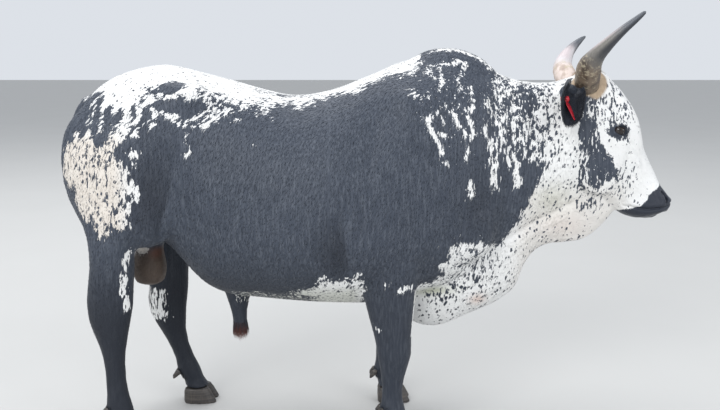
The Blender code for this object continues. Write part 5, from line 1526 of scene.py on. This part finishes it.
# Hooves
def hooves():
    """The claws and dewclaws, with fine growth waves on the claws."""
    made, t, shader = fresh("bull_hoof")
    place = t.place()
    bands = t.noise(t.scaled(place, (6.0, 6.0, 120.0)), 1.0)
    streak = t.noise(t.scaled(place, (260.0, 260.0, 14.0)), 1.0)
    colour = t.mix(t.step(bands, 0.35, 0.70), (0.030, 0.028, 0.028), (0.080, 0.070, 0.062))
    colour = t.mix(t.times(t.step(streak, 0.5, 0.75), 0.45), colour, (0.135, 0.115, 0.095))
    height = t.times_plus(bands, 0.0012, t.times(streak, 0.0004))
    rough = t.times_plus(streak, 0.25, 0.32)
    t.feed(shader, {"Base Color": colour, "Normal": t.bump(height, 0.7), "Roughness": rough})
    for name in sorted(NODES):
        if not name.startswith(("claw_", "dewclaw_")):
            continue
        is_claw = name.startswith("claw_")
        solid, triangles = welded(name)
        item = moulded(name + "_horn", solid, triangles, 0.0028 if is_claw else 0.0018, 5)
        mesh = item.data
        if is_claw:
            points = points_of(mesh)
            wave = 0.00030 * np.sin(points[:, 2] * 900.0 + 3.0 * np.sin(points[:, 0] * 40.0))
            wave *= ease(points[:, 2], 0.008, 0.016)
            points = points + normals_of(mesh) * (wave - 0.0002)[:, None]
            points[:, 2] = np.maximum(points[:, 2], solid[:, 2].min())
            put_points(mesh, points)
        mesh.materials.append(made)
        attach(item, "root")
        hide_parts(name)


# Ear tag: where it sits on the ear, and its front button as depth and radius
TAG_PLACE = (0.47, -0.42)
BUTTON = (
    (0.0045, 0.0095), (0.0095, 0.0112), (0.0135, 0.0106), (0.0168, 0.0082), (0.0186, 0.0048),
    (0.0193, 0.0010),
)
BUTTON_SIDES = 32
# The tag's back is pressed this much closer to the ear, from this depth on
TAG_PRESS = 0.75
TAG_BACK = -0.0070


def ear_tag():
    """The plain tag with its back pressed to the ear and a domed button in front."""
    points, triangles = welded("ear_tag")
    table = ear_frame(-1)
    u, v = np.array(TAG_PLACE)[:, None]
    foot = moved(ear_place(u, v, 0.0), table)
    out = unit(moved(ear_place(u, v, 0.01), table) - foot)
    points = points + out * (TAG_PRESS * np.maximum(TAG_BACK - (points - foot) @ out[0], 0.0))[:, None]
    beside = unit(np.cross(out, np.array((0.0, 0.0, 1.0))))
    angle = np.linspace(0.0, 2.0 * math.pi, BUTTON_SIDES, endpoint=False)[:, None]
    turn = beside * np.cos(angle) + np.cross(out, beside) * np.sin(angle)
    dome = [foot + out * depth + turn * radius for depth, radius in BUTTON]
    ends = [foot + out * BUTTON[0][0], foot + out * (BUTTON[-1][0] + 0.0002)]
    faces = np.vstack([triangles, tube_faces(len(BUTTON), BUTTON_SIDES)[:, ::-1] + len(points)])
    item = moulded("ear_tag_moulding", np.vstack([points, *dome, *ends]), faces, 0.0010, 4)
    made, t, shader = fresh("tag_plastic")
    scuff = t.noise(t.place(), 500.0, 4.0, 0.7)
    colour = t.mix(t.step(scuff, 0.35, 0.75), (0.36, 0.008, 0.018), (0.52, 0.020, 0.034))
    t.feed(shader, {"Base Color": colour, "Roughness": t.times_plus(scuff, 0.20, 0.16)})
    item.data.materials.append(made)
    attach(item, "root")
    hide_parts("ear_tag")


# Tail switch and other long hair
TAIL_LINE = (
    (-1.004, 0.024, 0.700), (-0.998, 0.026, 0.640), (-0.994, 0.028, 0.570),
    (-0.992, 0.029, 0.510), (-0.991, 0.030, 0.460), (-0.990, 0.030, 0.270),
)
SWITCH_TOP = 0.648
SWITCH_FOOT = 0.276
SWITCH_LOCKS = 34
GOLDEN_ANGLE = 2.399963


def tail_middle(z):
    """The middle of the tail at each height."""
    x, y, heights = np.asarray(TAIL_LINE)[::-1].T
    return np.stack([np.interp(z, heights, x), np.interp(z, heights, y), z], -1) + SHIFT


def switch(coat):
    """The tuft at the tail's end: curling locks of long hair."""
    amount = 1400
    locks = SWITCH_LOCKS
    lock = RNG.integers(0, locks, amount)
    start = SWITCH_TOP - 0.20 * (np.arange(locks) + RNG.random(locks)) / locks
    end = SWITCH_FOOT + 0.11 * RNG.random(locks)
    around = (np.arange(locks) * GOLDEN_ANGLE)[lock]
    wide = (0.012 + 0.022 * RNG.random(locks))[lock]
    curl = (0.006 + 0.012 * RNG.random(locks))[lock]
    steps = np.linspace(0.0, 1.0, 11)[None]
    top = start[lock] + RNG.normal(0.0, 0.010, amount)
    foot = np.maximum(end[lock] + np.abs(RNG.normal(0.0, 0.020, amount)), SWITCH_FOOT)
    z = lerp(top[:, None], foot[:, None], steps)
    angle = around + RNG.normal(0.0, 0.16, amount)
    out = np.stack([np.cos(angle), np.sin(angle), np.zeros(amount)], 1)
    beside = np.stack([-out[:, 1], out[:, 0], np.zeros(amount)], 1)
    swell = np.sin(math.pi * np.minimum(steps * 0.75, 0.62))
    reach = 0.011 + (wide * (0.75 + 0.5 * RNG.random(amount)))[:, None] * swell
    reach = reach * (1.0 - 0.35 * steps) - 0.004 * (1 - steps)
    sway = curl[:, None] * np.sin(4.0 * steps + around[:, None]) * steps
    loose = RNG.normal(0.0, 0.0035, amount)[:, None] * np.sin(math.pi * steps)
    paths = tail_middle(z) + out[:, None] * reach[:, :, None] + beside[:, None] * (sway + loose)[:, :, None]
    uv = np.clip(np.stack([np.mod(angle / (2.0 * math.pi), 1.0), (top - 0.42) / 0.26], 1), 0.0, 1.0)
    fields = plain_fields(amount)
    fields["white"] = np.where(RNG.random(amount) < 0.10, FAR, -FAR)
    radii = tapered(amount, 11, 0.0012 + 0.0007 * RNG.random(amount))
    hair = strands("tail_switch_hair", paths, radii, fields, uv, coat, flat=0.6)
    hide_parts("tail_switch")


def long_tufts(skin, coat):
    """The longer hair of the poll, the sheath, the fetlocks and the coronets."""
    mesh = skin.data
    points, normals, triangles = points_of(mesh), normals_of(mesh), triangles_of(mesh)
    head = to_head(points)
    x, y, z = (points - SHIFT).T
    poll = (head[:, 0] > 0.775) & (head[:, 0] < 0.86) & (np.abs(head[:, 1]) < 0.055) & (head[:, 2] > 1.22)
    sheath = (np.abs(x + 0.454) < 0.05) & (np.abs(y) < 0.05) & (z < 0.40) & (z > 0.352)
    fetlock = (z < 0.150) & (z > 0.100) & (normals[:, 0] < -0.2)
    coronet = (z < 0.064) & (z > 0.046) & (np.abs(normals[:, 2]) < 0.7)
    # name, where, hairs, length in metres, way, how far they stand off
    for name, mask, amount, long, way, stand in (
        ("poll_hair", poll, 1000, 0.016, (0.75, 0.0, -0.6), 0.30),
        ("sheath_hair", sheath, 420, 0.030, (0.0, 0.0, -1.0), 0.30),
        ("fetlock_hair", fetlock, 700, 0.014, (-0.55, 0.0, -1.0), 0.35),
        ("coronet_hair", coronet, 1100, 0.011, (0.15, 0.0, -1.0), 0.30),
    ):
        root, normal = scatter(points, normals, triangles, mask.astype(float), amount)
        fling = along_skin(np.array(way) + RNG.normal(0.0, 0.16, (amount, 3)), normal)
        size = long * (0.6 + 0.8 * RNG.random(amount))
        rise = normal[:, None] * (stand * size[:, None, None] * HAIR_STEPS * (1.0 - 0.6 * HAIR_STEPS))
        paths = hair_paths(root, fling, size) + rise
        paths[:, :, 2] -= (0.12 * size)[:, None] * HAIR_STEPS[:, :, 0] ** 2
        paths[:, :, 2] = np.maximum(paths[:, :, 2], 0.004)
        around = 0.5 + np.arctan2(root[:, 1], root[:, 0] - root[:, 0].mean()) / (2.02 * math.pi)
        uv = np.stack([around, stretched(root[:, 2])], 1)
        strands(name, paths, tapered(amount, 6, np.full(amount, 0.0007)), markings(root), uv, coat)


# Camera and stage
CAMERA_PLACE = (SHIFT[0], SHIFT[1] - 2.95, 1.36)
CAMERA_PITCH = math.radians(90.0) - math.atan(143.0 / 810.0)
CAMERA_LENS = 40.5
FLOOR_HALF = 60.0
SKY = (0.86, 0.90, 0.96, 1.0)
SKY_STRENGTH = 0.84
# name, place, size in metres, power in watts
LAMPS = (
    ("key", (-2.6, 2.4, 9.0), 8.0, 560.0),
    ("side", (-4.6, -7.4, 5.4), 5.0, 490.0),
    ("front", (7.4, -5.4, 4.4), 5.0, 260.0),
)


def stage():
    """The photo's camera, a pale floor and soft studio light."""
    scene = bpy.context.scene
    data = bpy.data.cameras.new("camera")
    data.lens = CAMERA_LENS
    data.sensor_width = 36.0
    data.clip_end = 200.0
    camera = bpy.data.objects.new("camera", data)
    camera.location = CAMERA_PLACE
    camera.rotation_euler = (CAMERA_PITCH, 0.0, 0.0)
    scene.collection.objects.link(camera)
    scene.camera = camera

    corners = [(x * FLOOR_HALF, y * FLOOR_HALF, 0.0) for x, y in ((-1, -1), (1, -1), (1, 1), (-1, 1))]
    floor = new_mesh("floor", corners, ((0, 1, 2, 3),))
    made, t, shader = fresh("studio_floor")
    colour = t.mix(t.noise(t.place(), 1.2), (0.52, 0.52, 0.51), (0.55, 0.55, 0.54))
    t.feed(shader, {"Base Color": colour, "Roughness": 0.9, "Specular IOR Level": 0.1})
    floor.data.materials.append(made)

    world = bpy.data.worlds.new("studio")
    world.use_nodes = True
    back = world.node_tree.nodes["Background"]
    back.inputs[0].default_value = SKY
    back.inputs[1].default_value = SKY_STRENGTH
    scene.world = world
    scene.view_settings.view_transform = "Standard"
    for name, place, size, power in LAMPS:
        lamp = bpy.data.lights.new(name, "AREA")
        lamp.size = size
        lamp.energy = power
        item = bpy.data.objects.new(name, lamp)
        item.location = place
        item.rotation_euler = (Vector(SCENE_MIDDLE) - Vector(place)).to_track_quat("-Z", "Y").to_euler()
        scene.collection.objects.link(item)


# Build
stage()
skin = build_skin()
refine(skin, [(place, reach) for reach in (0.050, 0.036) for place in both_sides(EYE)])
refine(skin, [(place, 0.034) for place in both_sides(NOSTRIL)])
sculpt(skin)
lids(skin)
skin_points = points_of(skin.data)
dress(skin, markings(skin_points))
put_vector(skin.data, "root", skin_points)
put_vector(skin.data, "lie", lie_vectors(skin_points))
hide = skin_material()
skin.data.materials.append(hide)
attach(skin, "root")
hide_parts(*FLESH)
coat = tuft_material()
horn("horn_right", RIGHT_HORN, "brown")
horn("horn_left", LEFT_HORN, "pale")
ear("ear_right", -1, coat, hide)
ear("ear_left", 1, coat, hide)
eye("eye_right", -1, coat)
eye("eye_left", 1, coat)
hooves()
ear_tag()
switch(coat)
long_tufts(skin, coat)
grow_coat(skin, coat)
